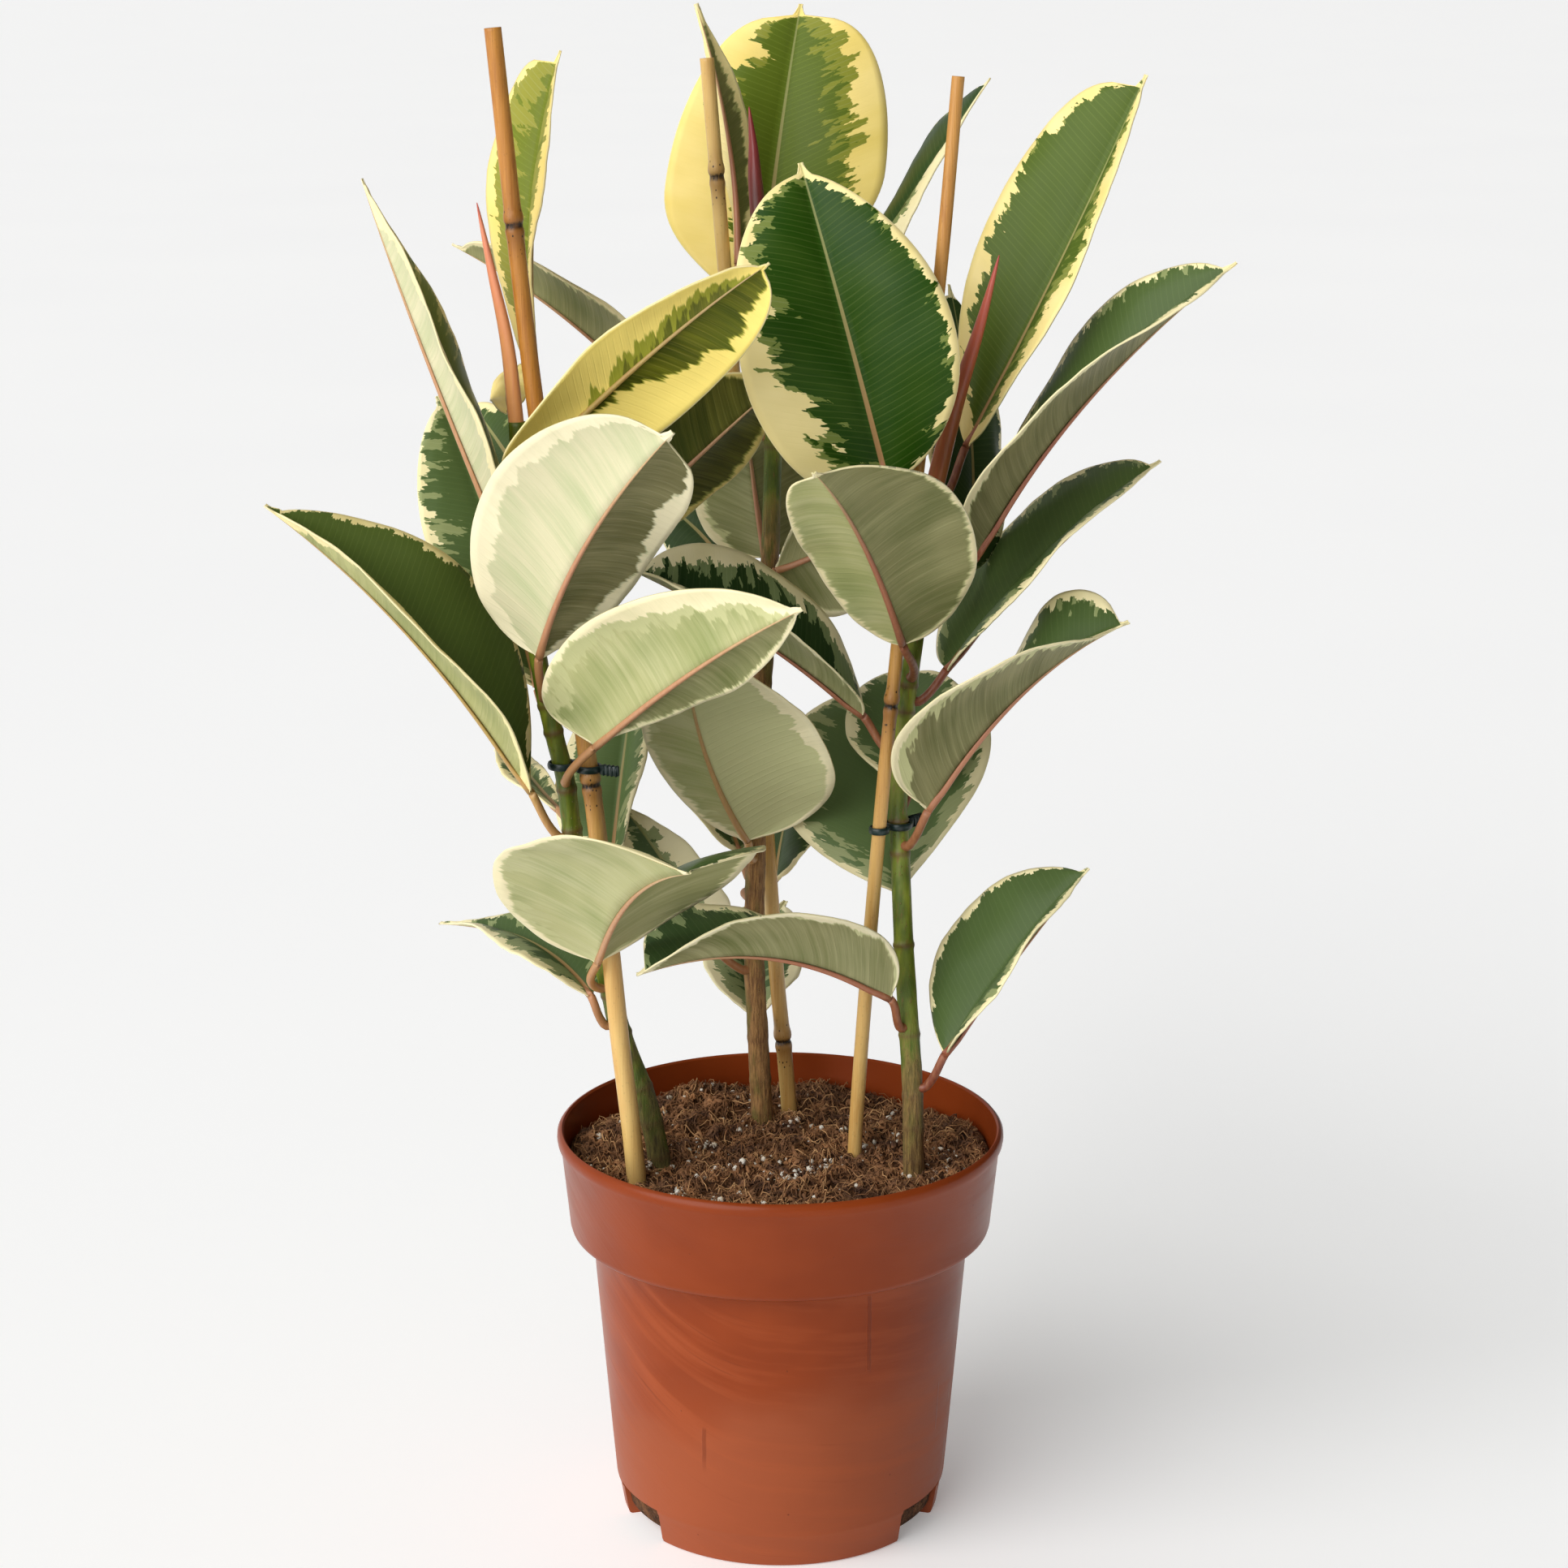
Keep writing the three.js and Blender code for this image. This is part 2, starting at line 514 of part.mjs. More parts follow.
function potShape() {
  let pot = solid(lathe(POT_PROFILE, POT_SIDES));
  for (const angle of NOTCH_ANGLES) {
    const pocket = ringSector(POCKET_RADIUS, POCKET_OUTER_RADIUS, angle, POCKET_HALF_ANGLE, 1, POCKET_TOP);
    pot = pot.add(solid(pocket));
    const notch = ringSector(NOTCH_DEPTH_RADIUS, NOTCH_OUTER_RADIUS, angle, NOTCH_HALF_ANGLE, -1, NOTCH_HEIGHT);
    const [behind, before] = [POCKET_RADIUS - POCKET_WALL, NOTCH_DEPTH_RADIUS + POCKET_WALL];
    const drain = ringSector(behind, before, angle, DRAIN_HALF_ANGLE, DRAIN_BOTTOM, DRAIN_TOP);
    pot = pot.subtract(solid(notch)).subtract(solid(drain));
  }
  return geometryOf(pot);
}

// How high the soil stands at a place, with a mound and loose lumps
function soilHeight(x, y) {
  const out = Math.hypot(x, y) / 114;
  const lumps = Math.sin(x * 0.11 + 1) * Math.cos(y * 0.13) + 0.6 * Math.sin(x * 0.23 - y * 0.19 + 2);
  const heaps = SOIL_HEAPS.map(([atX, atY, rise, spread]) => {
    const far = Math.hypot(x - atX, y - atY) / spread;
    return rise * Math.exp(-(far ** 2));
  });
  const level = SOIL_EDGE_HEIGHT + SOIL_MOUND * (1 - out ** 2) + 1.6 * lumps * (1 - out ** 4);
  return heaps.reduce((sum, heap) => sum + heap, level);
}

function soilShape() {
  const wall = [[84, SOIL_BOTTOM], [87, 19], [97.4, 140], [98.6, 161.2], [110.5, 165.3]];
  const rings = [[0.2, SOIL_BOTTOM], ...wall.map(([radius, height]) => [radius - 0.2, height])];
  for (let step = 0; step < SOIL_RINGS; step++) {
    rings.push([SOIL_EDGE_RADIUS * (1 - step / SOIL_RINGS), null]);
  }
  rings.push([0.2, null]);
  const corners = rings.map(([radius, height]) => Array.from({ length: SOIL_SIDES }, (_, side) => {
    const turn = (-side / SOIL_SIDES) * Math.PI * 2;
    const [x, y] = [radius * Math.cos(turn), radius * Math.sin(turn)];
    return new THREE.Vector3(x, y, height ?? soilHeight(x, y));
  }));
  let soil = solid(loft(corners));
  for (const angle of NOTCH_ANGLES) {
    const [inner, halfAngle] = [POCKET_RADIUS - GAP, POCKET_HALF_ANGLE + GAP];
    const clear = ringSector(inner, NOTCH_OUTER_RADIUS, angle, halfAngle, 0, POCKET_TOP + GAP);
    soil = soil.subtract(solid(clear));
  }
  Object.values(STEMS).forEach((part) => { soil = soil.subtract(solid(stemShape(part, GAP))); });
  Object.values(CANES).forEach((part) => { soil = soil.subtract(solid(caneShape(part, GAP))); });
  return geometryOf(soil);
}

const plant = new THREE.Group();
plant.add(named('pot', potShape(), material(0xb5603a, 0.45)));
plant.add(named('soil', soilShape(), material(0x3d281c, 0.95)));
const sheathColours = { left: 0xe08a55, middle: 0x7a2a2c, right: 0xc04a48 };
for (const side of ['left', 'middle', 'right']) {
  plant.add(named(`stem_${side}`, stemShape(STEMS[side]), material(0x6a7a2c, 0.6)));
  plant.add(named(`cane_${side}`, caneShape(CANES[side]), material(0xd0a05c, 0.5)));
  plant.add(named(`sheath_${side}`, sheathShape(SHEATHS[side]), material(sheathColours[side], 0.45)));
  LEAVES[side].forEach((leaf, order) => {
    const name = `leaf_${side}_${String(order + 1).padStart(2, '0')}`;
    plant.add(named(name, leafShape(leaf, side, order * 2.1), material(0x4f7a3a, 0.4)));
  });
}
for (const side of ['left', 'right']) {
  const clip = tieShape(TIE_HEIGHTS[side], STEMS[side], CANES[side]);
  plant.add(named(`tie_${side}`, clip, material(0x1d2a28, 0.5)));
}

export default plant;
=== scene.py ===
import functools
import math
import random
import bmesh
import bpy
from mathutils import Matrix, Quaternion, Vector, noise

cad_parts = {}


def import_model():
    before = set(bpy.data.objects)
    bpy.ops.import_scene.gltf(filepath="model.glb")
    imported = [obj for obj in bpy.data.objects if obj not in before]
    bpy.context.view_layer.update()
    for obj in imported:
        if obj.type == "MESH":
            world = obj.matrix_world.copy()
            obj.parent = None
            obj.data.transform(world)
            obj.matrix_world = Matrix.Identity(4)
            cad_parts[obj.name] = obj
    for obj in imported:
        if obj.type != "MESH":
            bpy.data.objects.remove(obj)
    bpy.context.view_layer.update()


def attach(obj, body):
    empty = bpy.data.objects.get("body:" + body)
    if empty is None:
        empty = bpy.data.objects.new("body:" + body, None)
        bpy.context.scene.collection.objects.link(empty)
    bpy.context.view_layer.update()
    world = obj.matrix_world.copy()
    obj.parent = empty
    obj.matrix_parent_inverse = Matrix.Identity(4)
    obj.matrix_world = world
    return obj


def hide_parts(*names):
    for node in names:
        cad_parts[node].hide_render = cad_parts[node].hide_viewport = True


# The looks of a potted variegated rubber plant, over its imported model.
# Shapes are worked out in millimetres and made metres as each piece is finished.
# +Z is up, the front is towards -Y, and the origin is the middle of the pot's underside.
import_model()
MM = 0.001

# The photograph's viewpoint
CAMERA_PLACE = Vector((0.002, -1.666, 0.831))
CAMERA_TILT = 0.25              # radians below level
CAMERA_LENS = 75.3              # millimetres, on a sensor 36 mm wide

# Light
FLOOR_REACH = 80                # metres each way, so that its far edge is above the picture
SKY_LEFT, SKY_RIGHT = 0.62, 0.03    # the sky fades from left to right
SUN_STRENGTH = 3.0
SUN_FROM = Vector((-1.25, -1.25, 0.85))
SUN_SPREAD = 1.1                # radians, for soft shadows
FLOOR_GLOW = 0.24               # keeps the floor pale

# Stems, canes and sheaths: points on the axis from the buried end up, with a radius at each end
STEM_BURIED, CANE_BURIED = 120, 60      # heights of the ends in the soil
STEMS = {
    "left": dict(
        foot=6.0, top=4.3, bark=262, tint=0.0,
        path=((-64, -16, 197), (-72, -16, 238), (-80, -14, 259), (-86, -14, 279), (-90, -16, 300),
              (-96, -20, 325), (-104, -24, 362), (-108, -26, 390), (-111, -28, 417), (-116, -30, 440),
              (-121, -30, 465), (-126, -29, 501), (-130, -28, 547), (-132, -27, 600))),
    "middle": dict(
        foot=6.2, top=4.2, bark=560, tint=1.0,
        path=((-10, 53, 197), (-12, 52, 240), (-14, 52, 285), (-14, 51, 327), (-12, 49, 400),
              (-8, 47, 476), (-5, 47, 530), (-4, 49, 598), (-7, 52, 640), (-11, 55, 697))),
    "right": dict(
        foot=5.8, top=4.3, bark=285, tint=0.45,
        path=((71, -24, 197), (70, -22, 245), (67, -17, 292), (65, -11, 324), (63, -4, 371),
              (62, 0, 397), (66, 4, 449), (71, 4, 490), (76, 2, 530), (80, 0, 566))),
}
CANES = {
    "left": dict(
        foot=5.4, top=4.2, tint=1.0, joints=(702, 418),
        path=((-76, -36, 198), (-84, -36, 278), (-94, -35, 388), (-109, -36, 510),
              (-123, -37, 621), (-139, -38, 793))),
    "middle": dict(
        foot=4.6, top=3.7, tint=0.1, joints=(718, 244),
        path=((5, 70, 197), (-2, 70, 278), (-7, 71, 354), (-21, 73, 560), (-38, 75, 775))),
    "right": dict(
        foot=4.0, top=3.2, tint=0.8, joints=(455,),
        path=((40, 0, 197), (45, -7, 289), (53, -13, 400), (61, -16, 490), (80, -14, 671), (88, -12, 769))),
}
SHEATHS = {
    "left": dict(base=3.3, path=((-132, -27, 596), (-136, -29, 640), (-143, -31, 677), (-149, -33, 709))),
    "middle": dict(base=3.6, path=((-11, 55, 693), (-13, 56, 715), (-14, 57, 732), (-16, 58, 751))),
    "right": dict(base=4.2, path=((79, 0, 562), (89, -3, 605), (101, -5, 646), (110, -6, 681))),
}
STEM_FURROWS = 0.5              # how deep they are in the bark
SCAR_WIDTH = 1.6                # rings left by leaves, at each stalk
SCAR_STEP = 19                  # and at even steps below the lowest
BARK_FADE = 120                 # height over which bark gives way to green skin
# Rings round a cane's joint: rise, height above the joint and spread
JOINT_RINGS = ((0.75, 0, 3.2), (0.45, -7, 2.4), (-0.6, -3.6, 0.9))
CANE_HOLE_DEPTH = 7
CANE_WALL = 0.45                # against the radius
SHEATH_POINT = 0.25             # radius at the tip

# Clips
TIE_HEIGHTS = {"left": 423, "right": 384}
TIE_BAND = (0.75, 1.9)          # half its thickness and half its height
TIE_OUT = 1.3                   # from what it holds to the middle of its thickness
TIE_TAIL = (11, 2.0, 5.2)       # length, thickness and height
TIE_RIDGE = (0.8, 2.8, 5.6)
TIE_RIDGES = 4
TIE_RIDGE_STEP = 2.4

# Leaf blades
BLADE_THICKNESS = 0.9
STALK_RADIUS = 2.2
STALK_CLEARANCE = 1.3
STALK_LEAN = 0.3                # how far the stalk's first bend lies towards the blade
STALK_SPREAD = 0.12             # and away from the stem, against the stalk's length
STALK_REACH = 0.3               # how far the midrib's own direction runs back down the stalk
STALK_SHARE = 0.3               # the part of the bar that is stalk, and not midrib
STALK_ROOT = 0.12               # the part of the stalk that is inside the stem
STALK_FLARE = 0.35              # how much thicker it is at the stem
RIB_SETTLES = 0.08              # the part of the midrib that goes from round to its own section
RIB_END = 0.985
BLADE_BULGE = 0.07              # how far each half arches up, against its width
MARGIN_WAVE = 2.0
RUFFLE, FINE_RUFFLE = 1.6, 0.5
DRIP_TIP = 0.965                # where the rounded end of the blade gives way to the drip tip
FORM = (0.5, 0.62, 0.5)         # widest place, fullness towards the base and towards the tip
CREASE_DEPTH, CREASE_WIDTH = 0.5, 2.2   # the furrow over the midrib
# The midrib's section at the foot of the blade, and how much of it is lost by the tip
RIB_HALF_WIDTH, RIB_NARROWS = 2.0, 1.75
RIB_DEPTH, RIB_THINS = 2.6, 2.2
RIB_ABOVE = 0.1
RIB_SUNK = 0.95
VEIN_SPACING = 3.4
VEIN_LEAN = 0.42                # how far a side vein runs towards the tip, against how far it runs out
BLADE_ROWS = 60
BLADE_COLUMNS = 24


def leaf_at(height, base, middle, tip, left, right, **more):
    """A leaf whose stalk leaves the stem at a height.

    Its midrib has a base, a middle and a tip, and its left and right margins lie so far from the
    middle, seen on the upper face with the tip up. A form gives the widest place and the fullness
    towards the base and the tip. A stalk that goes round something has a bend.
    """
    return dict(height=height, base=base, middle=middle, tip=tip, left=left, right=right, **more)


def painted(cream_left, cream_right, patch, pale, light, warm, ruddy):
    """How a leaf is coloured.

    Cream is the width of the pale margin, at even steps from the foot to the head of each half.
    Patch is how much mid-green breaks up each half, pale how far the underside of each half goes
    from olive to lime, and light how far the upper face goes from dark green to sage. Warm goes
    from ivory margins to yellow ones, and ruddy from a tan stalk to a dark red one.
    """
    return dict(cream=(cream_left, cream_right), patch=patch, pale=pale, light=light, warm=warm,
                ruddy=ruddy)


# Every leaf of each stem, from the lowest up
LEAVES = {
    "left": [
        leaf_at(278, (-100, -20, 296), (-135, 16, 315), (-186, 50, 315), (-12, -30, 8), (21, 22, 12),
                form=(0.4, 0.85, 1.1), right_form=(0.35, 0.8, 1.5)),
        leaf_at(300, (-94, -47, 323), (-73, -113, 377), (-43, -170, 406), (59, 28, 12), (-66, -1, 20),
                form=(0.5, 0.6, 0.24), bend=(-104, -32, 307)),
        leaf_at(355, (-89, -4, 360), (-83, 26, 415), (-76, 54, 466), (-36, -2, -14), (13, -20, 13)),
        leaf_at(384, (-128, -34, 410), (-187, -42, 495), (-257, -45, 561), (10, -40, 13), (30, 36, 22),
                left_form=(0.25, 0.7, 0.6), right_form=(0.44, 1.1, 0.75)),
        leaf_at(393, (-115, -14, 395), (-135, 45, 399), (-146, 98, 399), (-17, -8, 10), (8, 0, 4),
                form=(0.5, 0.5, 0.5)),
        leaf_at(415, (-93, -54, 439), (-41, -100, 489), (11, -138, 527), (9, 14, -19), (-44, 12, 29),
                left_form=(0.62, 1.4, 0.5), right_form=(0.38, 0.24, 0.6), bend=(-109, -46, 424)),
        leaf_at(446, (-127, 4, 457), (-150, 20, 536), (-178, 34, 605), (-33, -8, -6), (12, -4, 7),
                form=(0.5, 0.62, 0.62)),
        leaf_at(460, (-121, -52, 485), (-94, -92, 550), (-50, -130, 610), (27, 28, -23), (-50, 13, 26),
                left_form=(0.7, 0.75, 0.17), right_form=(0.5, 0.5, 0.38)),
        leaf_at(493, (-102, -14, 523), (-46, 2, 575), (-2, 18, 613), (14, 20, -18), (-18, -12, 28),
                bend=(-112, -20, 500)),
        leaf_at(514, (-142, -28, 546), (-177, -26, 637), (-206, -20, 720), (14, -36, 8), (10, 38, 6),
                left_form=(0.3, 0.4, 0.85), right_form=(0.35, 0.6, 1)),
        leaf_at(538, (-132, -44, 573), (-63, -77, 640), (-5, -97, 686), (23, 4, -24), (-12, -16, 18),
                left_form=(0.5, 0.4, 0.38), right_form=(0.4, 0.2, 0.7)),
        leaf_at(555, (-130, 4, 562), (-147, 48, 577), (-167, 92, 594), (-12, 6, -16), (14, 0, 9)),
        leaf_at(580, (-136, -12, 603), (-141, 30, 610), (-138, 75, 617), (-9, -6, -2), (12, 6, 1),
                form=(0.5, 0.5, 0.5)),
        leaf_at(590, (-122, -14, 606), (-126, 2, 692), (-110, 6, 781), (-25, 26, -2), (5, -24, 2),
                form=(0.7, 1.4, 0.3), left_form=(0.7, 1.4, 0.22)),
    ],
    "middle": [
        leaf_at(253, (-12, 72, 253), (-16, 108, 271), (3, 150, 298), (-27, -8, 11), (28, -12, 8),
                left_form=(0.55, 1, 0.5)),
        leaf_at(288, (-39, 38, 310), (-59, 28, 350), (-85, 16, 391), (-17, -6, -4), (23, -8, 2),
                form=(0.4, 0.5, 0.6)),
        leaf_at(327, (-3, 84, 329), (1, 100, 352), (10, 124, 389), (-16, 28, 1), (18, -24, 9),
                bend=(-27, 74, 329)),
        leaf_at(338, (-22, 66, 350), (-37, 92, 387), (-50, 112, 431), (-19, -22, 2), (26, 24, -1)),
        leaf_at(352, (-18, 36, 365), (-40, 0, 425), (-48, -38, 489), (64, -11, 7), (-29, -6, -1),
                left_form=(0.38, 0.35, 0.5), right_form=(0.6, 0.75, 0.5)),
        leaf_at(494, (-29, 66, 506), (-45, 102, 522), (-77, 130, 542), (-10, -12, -20), (15, 14, 18),
                bend=(-23, 55, 500)),
        leaf_at(504, (-2, 40, 512), (29, 34, 526), (61, 22, 546), (7, 9, -37), (-5, -12, 35)),
        leaf_at(516, (-8, 60, 515), (-14, 62, 554), (-19, 62, 600), (32, 14, 0), (-34, 17, -4),
                form=(0.45, 0.45, 0.5)),
        leaf_at(582, (-41, 52, 573), (-102, 62, 635), (-172, 74, 680), (11, -30, 18), (11, 36, -1)),
        leaf_at(598, (18, 72, 627), (66, 78, 701), (109, 84, 765), (-6, 38, 1), (5, -36, -1),
                left_form=(0.62, 0.6, 0.5), right_form=(0.35, 0.6, 1.7)),
        leaf_at(627, (-11, 82, 640), (-2, 135, 718), (11, 150, 801), (-59, -2, -2), (60, -2, 4),
                form=(0.45, 1, 0.3)),
        leaf_at(657, (-22, 64, 670), (-27, 86, 733), (-44, 98, 802), (11, 16, -1), (-5, 15, -3),
                form=(0.5, 0.7, 0.85)),
    ],
    "right": [
        leaf_at(246, (87, -30, 267), (122, -26, 318), (161, -14, 364), (-28, 34, 13), (0, -36, 12),
                form=(0.5, 0.6, 0.5), right_form=(0.42, 0.8, 0.8)),
        leaf_at(279, (57, -32, 298), (-7, -50, 327), (-74, -56, 319), (2, -30, 32), (-5, 46, 10),
                left_form=(0.4, 0.4, 0.8), right_form=(0.7, 0.8, 0.3), twist=-40),
        leaf_at(326, (63, 12, 343), (61, 48, 385), (58, 105, 436), (-65, 2, 6), (53, -1, 25),
                form=(0.55, 0.7, 0.42), right_form=(0.62, 1.05, 0.42)),
        leaf_at(374, (77, -24, 398), (123, -28, 461), (178, -22, 497), (-4, 38, 12), (-12, -44, 29),
                left_form=(0.74, 1.6, 0.35), right_form=(0.33, 0.28, 1.1), twist=60),
        leaf_at(391, (68, 14, 398), (70, 50, 420), (73, 88, 449), (-35, -8, 13), (33, -8, 13)),
        leaf_at(423, (43, 2, 442), (-11, -16, 488), (-75, -26, 525), (2, -34, 15), (14, 36, 25),
                form=(0.5, 0.5, 0.45), twist=-20),
        leaf_at(449, (87, 6, 466), (136, 14, 523), (197, 24, 573), (-18, 38, 10), (1, -36, 6),
                left_form=(0.55, 0.35, 0.45), right_form=(0.45, 0.5, 0.7)),
        leaf_at(463, (62, -34, 488), (40, -88, 550), (16, -136, 592), (53, 17, 9), (-27, 14, -10),
                form=(0.5, 0.48, 0.42), right_form=(0.55, 0.55, 0.25), bend=(71, -20, 474)),
        leaf_at(506, (98, 22, 516), (101, 50, 578), (90, 80, 658), (-27, -16, 16), (19, 18, -16)),
        leaf_at(518, (101, -10, 529), (153, -14, 608), (227, -20, 679), (-12, 38, 15), (-12, -38, 14),
                form=(0.45, 0.4, 0.55), left_form=(0.5, 0.8, 0.55), twist=50),
        leaf_at(534, (54, -26, 569), (32, -26, 651), (10, -10, 727), (-54, -15, -13), (52, -11, 9),
                left_form=(0.42, 0.3, 0.45), right_form=(0.45, 0.6, 0.68), bend=(82, -28, 542)),
        leaf_at(556, (96, 14, 582), (142, 24, 672), (186, 40, 768), (-38, 24, 16), (5, -36, -1),
                left_form=(0.6, 0.7, 0.33), right_form=(0.42, 0.7, 0.55)),
    ],
}

# The colours of each leaf, in the same order
LOOKS = {
    "left": [
        painted((3, 6, 5), (2, 3, 3), (0.8, 0.5), (0.5, 0.5), 0.5, 0.1, 0.5),
        painted((3, 4, 4), (3, 5, 6), (0.2, 0.5), (0.6, 1.0), 0.4, 0.2, 0.3),
        painted((8, 8, 3), (2, 3, 3), (0.3, 0.5), (0.6, 0.6), 1.0, 0.1, 0.3),
        painted((16, 12, 12), (2, 3, 3), (0.5, 0.05), (0.9, 0.7), 0.5, 0.5, 0.0),
        painted((3, 4, 4), (3, 4, 4), (0.4, 0.4), (0.8, 0.8), 0.6, 0.3, 0.3),
        painted((2, 2, 2, 4), (2, 3, 9, 16, 9), (0.1, 0.6), (0.4, 0.95), 0.7, 0.2, 0.35),
        painted((3, 5, 3), (5, 6, 4), (0.5, 0.3), (0.3, 0.3), 0.55, 0.2, 0.4),
        painted((3, 5, 8, 8), (6, 12, 12, 7), (0.2, 3.0), (0.1, 1.0), 1.0, 0.1, 0.45),
        painted((2, 2, 2), (2, 2, 2), (0.2, 0.2), (0.0, 0.0), 0.2, 0.8, 0.4),
        painted((14, 10, 8), (3, 3, 4), (3.0, 0.4), (0.9, 0.4), 1.0, 0.35, 0.3),
        painted((60, 26, 16, 11, 8), (60, 30, 14, 9, 6), (0.1, 0.6), (0.0, 0.2), 0.2, 1.0, 0.0),
        painted((3, 3, 3), (2, 3, 3), (0.3, 0.3), (0.3, 0.3), 0.3, 0.3, 0.4),
        painted((30, 30, 30), (30, 30, 30), (0.5, 0.5), (0.4, 0.4), 0.4, 1.0, 0.3),
        painted((4, 6, 5), (6, 7, 6), (0.9, 0.9), (0.2, 0.2), 0.9, 1.0, 0.1),
    ],
    "middle": [
        painted((6, 8, 6), (4, 5, 4), (0.7, 0.6), (0.6, 0.6), 0.6, 0.0, 0.4),
        painted((3, 3, 3), (14, 14, 10), (0.3, 0.8), (0.9, 0.9), 0.7, 0.0, 0.6),
        painted((2, 3, 3), (3, 3, 3), (0.2, 0.2), (0.4, 0.4), 0.3, 0.1, 0.5),
        painted((4, 5, 5), (3, 4, 4), (0.4, 0.3), (0.6, 0.6), 0.4, 0.1, 0.5),
        # Painted light: this leaf's underside is lime, but its left half is painted paler all over (patch
        # 3.0, light 0.8) in place of the sun that a leaf in front shades off it.
        painted((3, 5, 9, 9, 7), (3, 3, 3), (3.0, 0.4), (1.0, 0.9), 0.8, 0.15, 0.12),
        painted((2, 3, 3), (2, 2, 2), (0.3, 0.3), (0.4, 0.4), 0.2, 0.1, 0.5),
        painted((2, 3, 3), (2, 3, 3), (0.2, 0.2), (0.5, 0.5), 0.3, 0.1, 0.5),
        painted((2, 2, 2), (4, 4, 4), (0.2, 0.4), (0.4, 0.5), 0.3, 0.2, 0.5),
        painted((3, 4, 4), (5, 6, 5), (0.4, 0.5), (0.4, 0.4), 0.3, 0.3, 0.4),
        painted((2, 2, 2), (4, 12, 10, 4), (0.2, 0.8), (0.4, 0.4), 0.1, 0.2, 0.4),
        painted((30, 36, 36, 25, 10), (20, 20, 18, 13, 8), (0.35, 0.8), (0.3, 0.3), 0.5, 1.0, 0.4),
        painted((4, 5, 5), (22, 22, 22), (0.3, 0.2), (0.3, 1.0), 0.2, 0.6, 0.7),
    ],
    "right": [
        painted((3, 3, 3), (2, 3, 4), (0.1, 0.4), (0.4, 0.4), 0.5, 0.2, 0.9),
        painted((4, 4, 4), (5, 7, 6), (0.3, 0.6), (0.4, 0.25), 0.2, 0.1, 0.8),
        painted((5, 6, 4), (5, 6, 5), (0.75, 0.6), (0.5, 0.5), 0.9, 0.1, 0.8),
        painted((4, 6, 7), (5, 6, 4), (0.4, 0.6), (0.3, 0.15), 0.45, 0.2, 0.7),
        painted((2, 3, 3), (2, 3, 3), (0.4, 0.4), (0.5, 0.5), 0.8, 0.1, 0.8),
        painted((3, 5, 4), (3, 8, 14, 10), (0.4, 0.6), (0.6, 0.5), 0.05, 0.1, 0.8),
        painted((3, 3, 3), (3, 4, 3), (0.35, 0.4), (0.4, 0.4), 0.5, 0.25, 0.9),
        painted((2, 2, 2), (2, 2, 2), (0.15, 0.15), (0.3, 1.0), 0.3, 0.3, 0.85),
        painted((1, 2, 2), (1, 2, 2), (0.1, 0.1), (0.4, 0.4), 0.2, 0.2, 0.9),
        painted((3, 4, 3), (5, 7, 5), (0.35, 0.3), (0.2, 0.1), 0.5, 0.25, 0.9),
        painted((20, 21, 17, 4, 8), (6, 4, 3, 3, 6), (0.55, 0.3), (0.4, 0.4), 0.0, 0.6, 0.6),
        painted((6, 12, 8, 8, 5), (8, 11, 7, 8, 5), (0.1, 0.6), (0.4, 0.4), 0.4, 0.75, 0.9),
    ],
}

# Pot and soil
POT_SIDES = 160
# The notches in the foot, and what is joined on or cut away at each: between which radii, how many
# degrees to each side of its middle, and between which heights
NOTCH_ANGLES = (-150, -30, 90)
NOTCH_CUTS = (
    ("UNION", 72.5, 86, 15, 1, 22.5),       # the wall of the pocket
    ("DIFFERENCE", 75, 99, 13, -1, 20),     # the notch
    ("DIFFERENCE", 70.5, 80, 5, 5, 11),     # the drain slot
)
SHARP_ANGLE = math.radians(38)  # sharper corners of the pot aren't smoothed
# Dried drips on the front of the wall: how far across each is, its top and its foot
DRIPS = ((46, 154, 108), (-40, 78, 52))
POT_PROFILE = (
    (0, 0), (84.5, 0), (85.8, 0.6), (86.6, 2.5), (89.0, 16.6), (90.0, 18.4), (90.3, 20), (92.2, 42),
    (96.2, 90), (100.2, 140), (101, 157), (101.8, 159), (111.6, 161.7), (112.9, 162.9), (113.5, 165),
    (117.9, 208), (119.6, 210.2), (120, 212.5), (119.8, 215), (118.6, 216.6), (117.4, 217), (116.4, 216),
    (115.8, 209), (111, 165), (99, 161), (97.8, 140), (93.8, 90), (89.8, 42), (87.4, 19), (84.2, 3), (0, 3),
)
SOIL_EDGE_RADIUS = 113.3
SOIL_EDGE_HEIGHT = 195
SOIL_MOUND = 4
# Heaps: middle in x and y, rise and spread
SOIL_HEAPS = ((-45, 82, 10, 30), (25, 98, 6, 26), (98, 30, 7, 30), (-98, 15, 9, 34))
# Clods and crumbs: their width, their rise and their layer of the noise
SOIL_CLODS = ((10, 3.4, 0), (4.2, 2.4, 4), (1.7, 1.2, 9))
SOIL_WALL = ((84, 3.4), (87, 19), (97.4, 140), (98.6, 161.2), (110.5, 165.3))
LOOSE_EDGE = 111                # how far out the fibres may lie
FIBRE_CURL = 0.6
FIBRE_STEPS = 6
# Loose fibres: how many, their seed, the range of their length and radius, and how far they rise
FIBRES = {
    "coir_threads": dict(count=2400, seed=1, length=(5, 15), radius=(0.16, 0.4), rise=3.4),
    "coir_crumbs": dict(count=2200, seed=2, length=(2.5, 8), radius=(0.5, 1.5), rise=1.6),
    "dry_roots": dict(count=520, seed=3, length=(5, 22), radius=(0.18, 0.5), rise=5.0),
}
PERLITE_GRAINS = 430
PERLITE_CLUSTERS = 16
PERLITE_CLUSTER_SIZE = (7, 5)   # across and to the back
PERLITE_LEAST, PERLITE_SPREAD = 0.7, 1.5


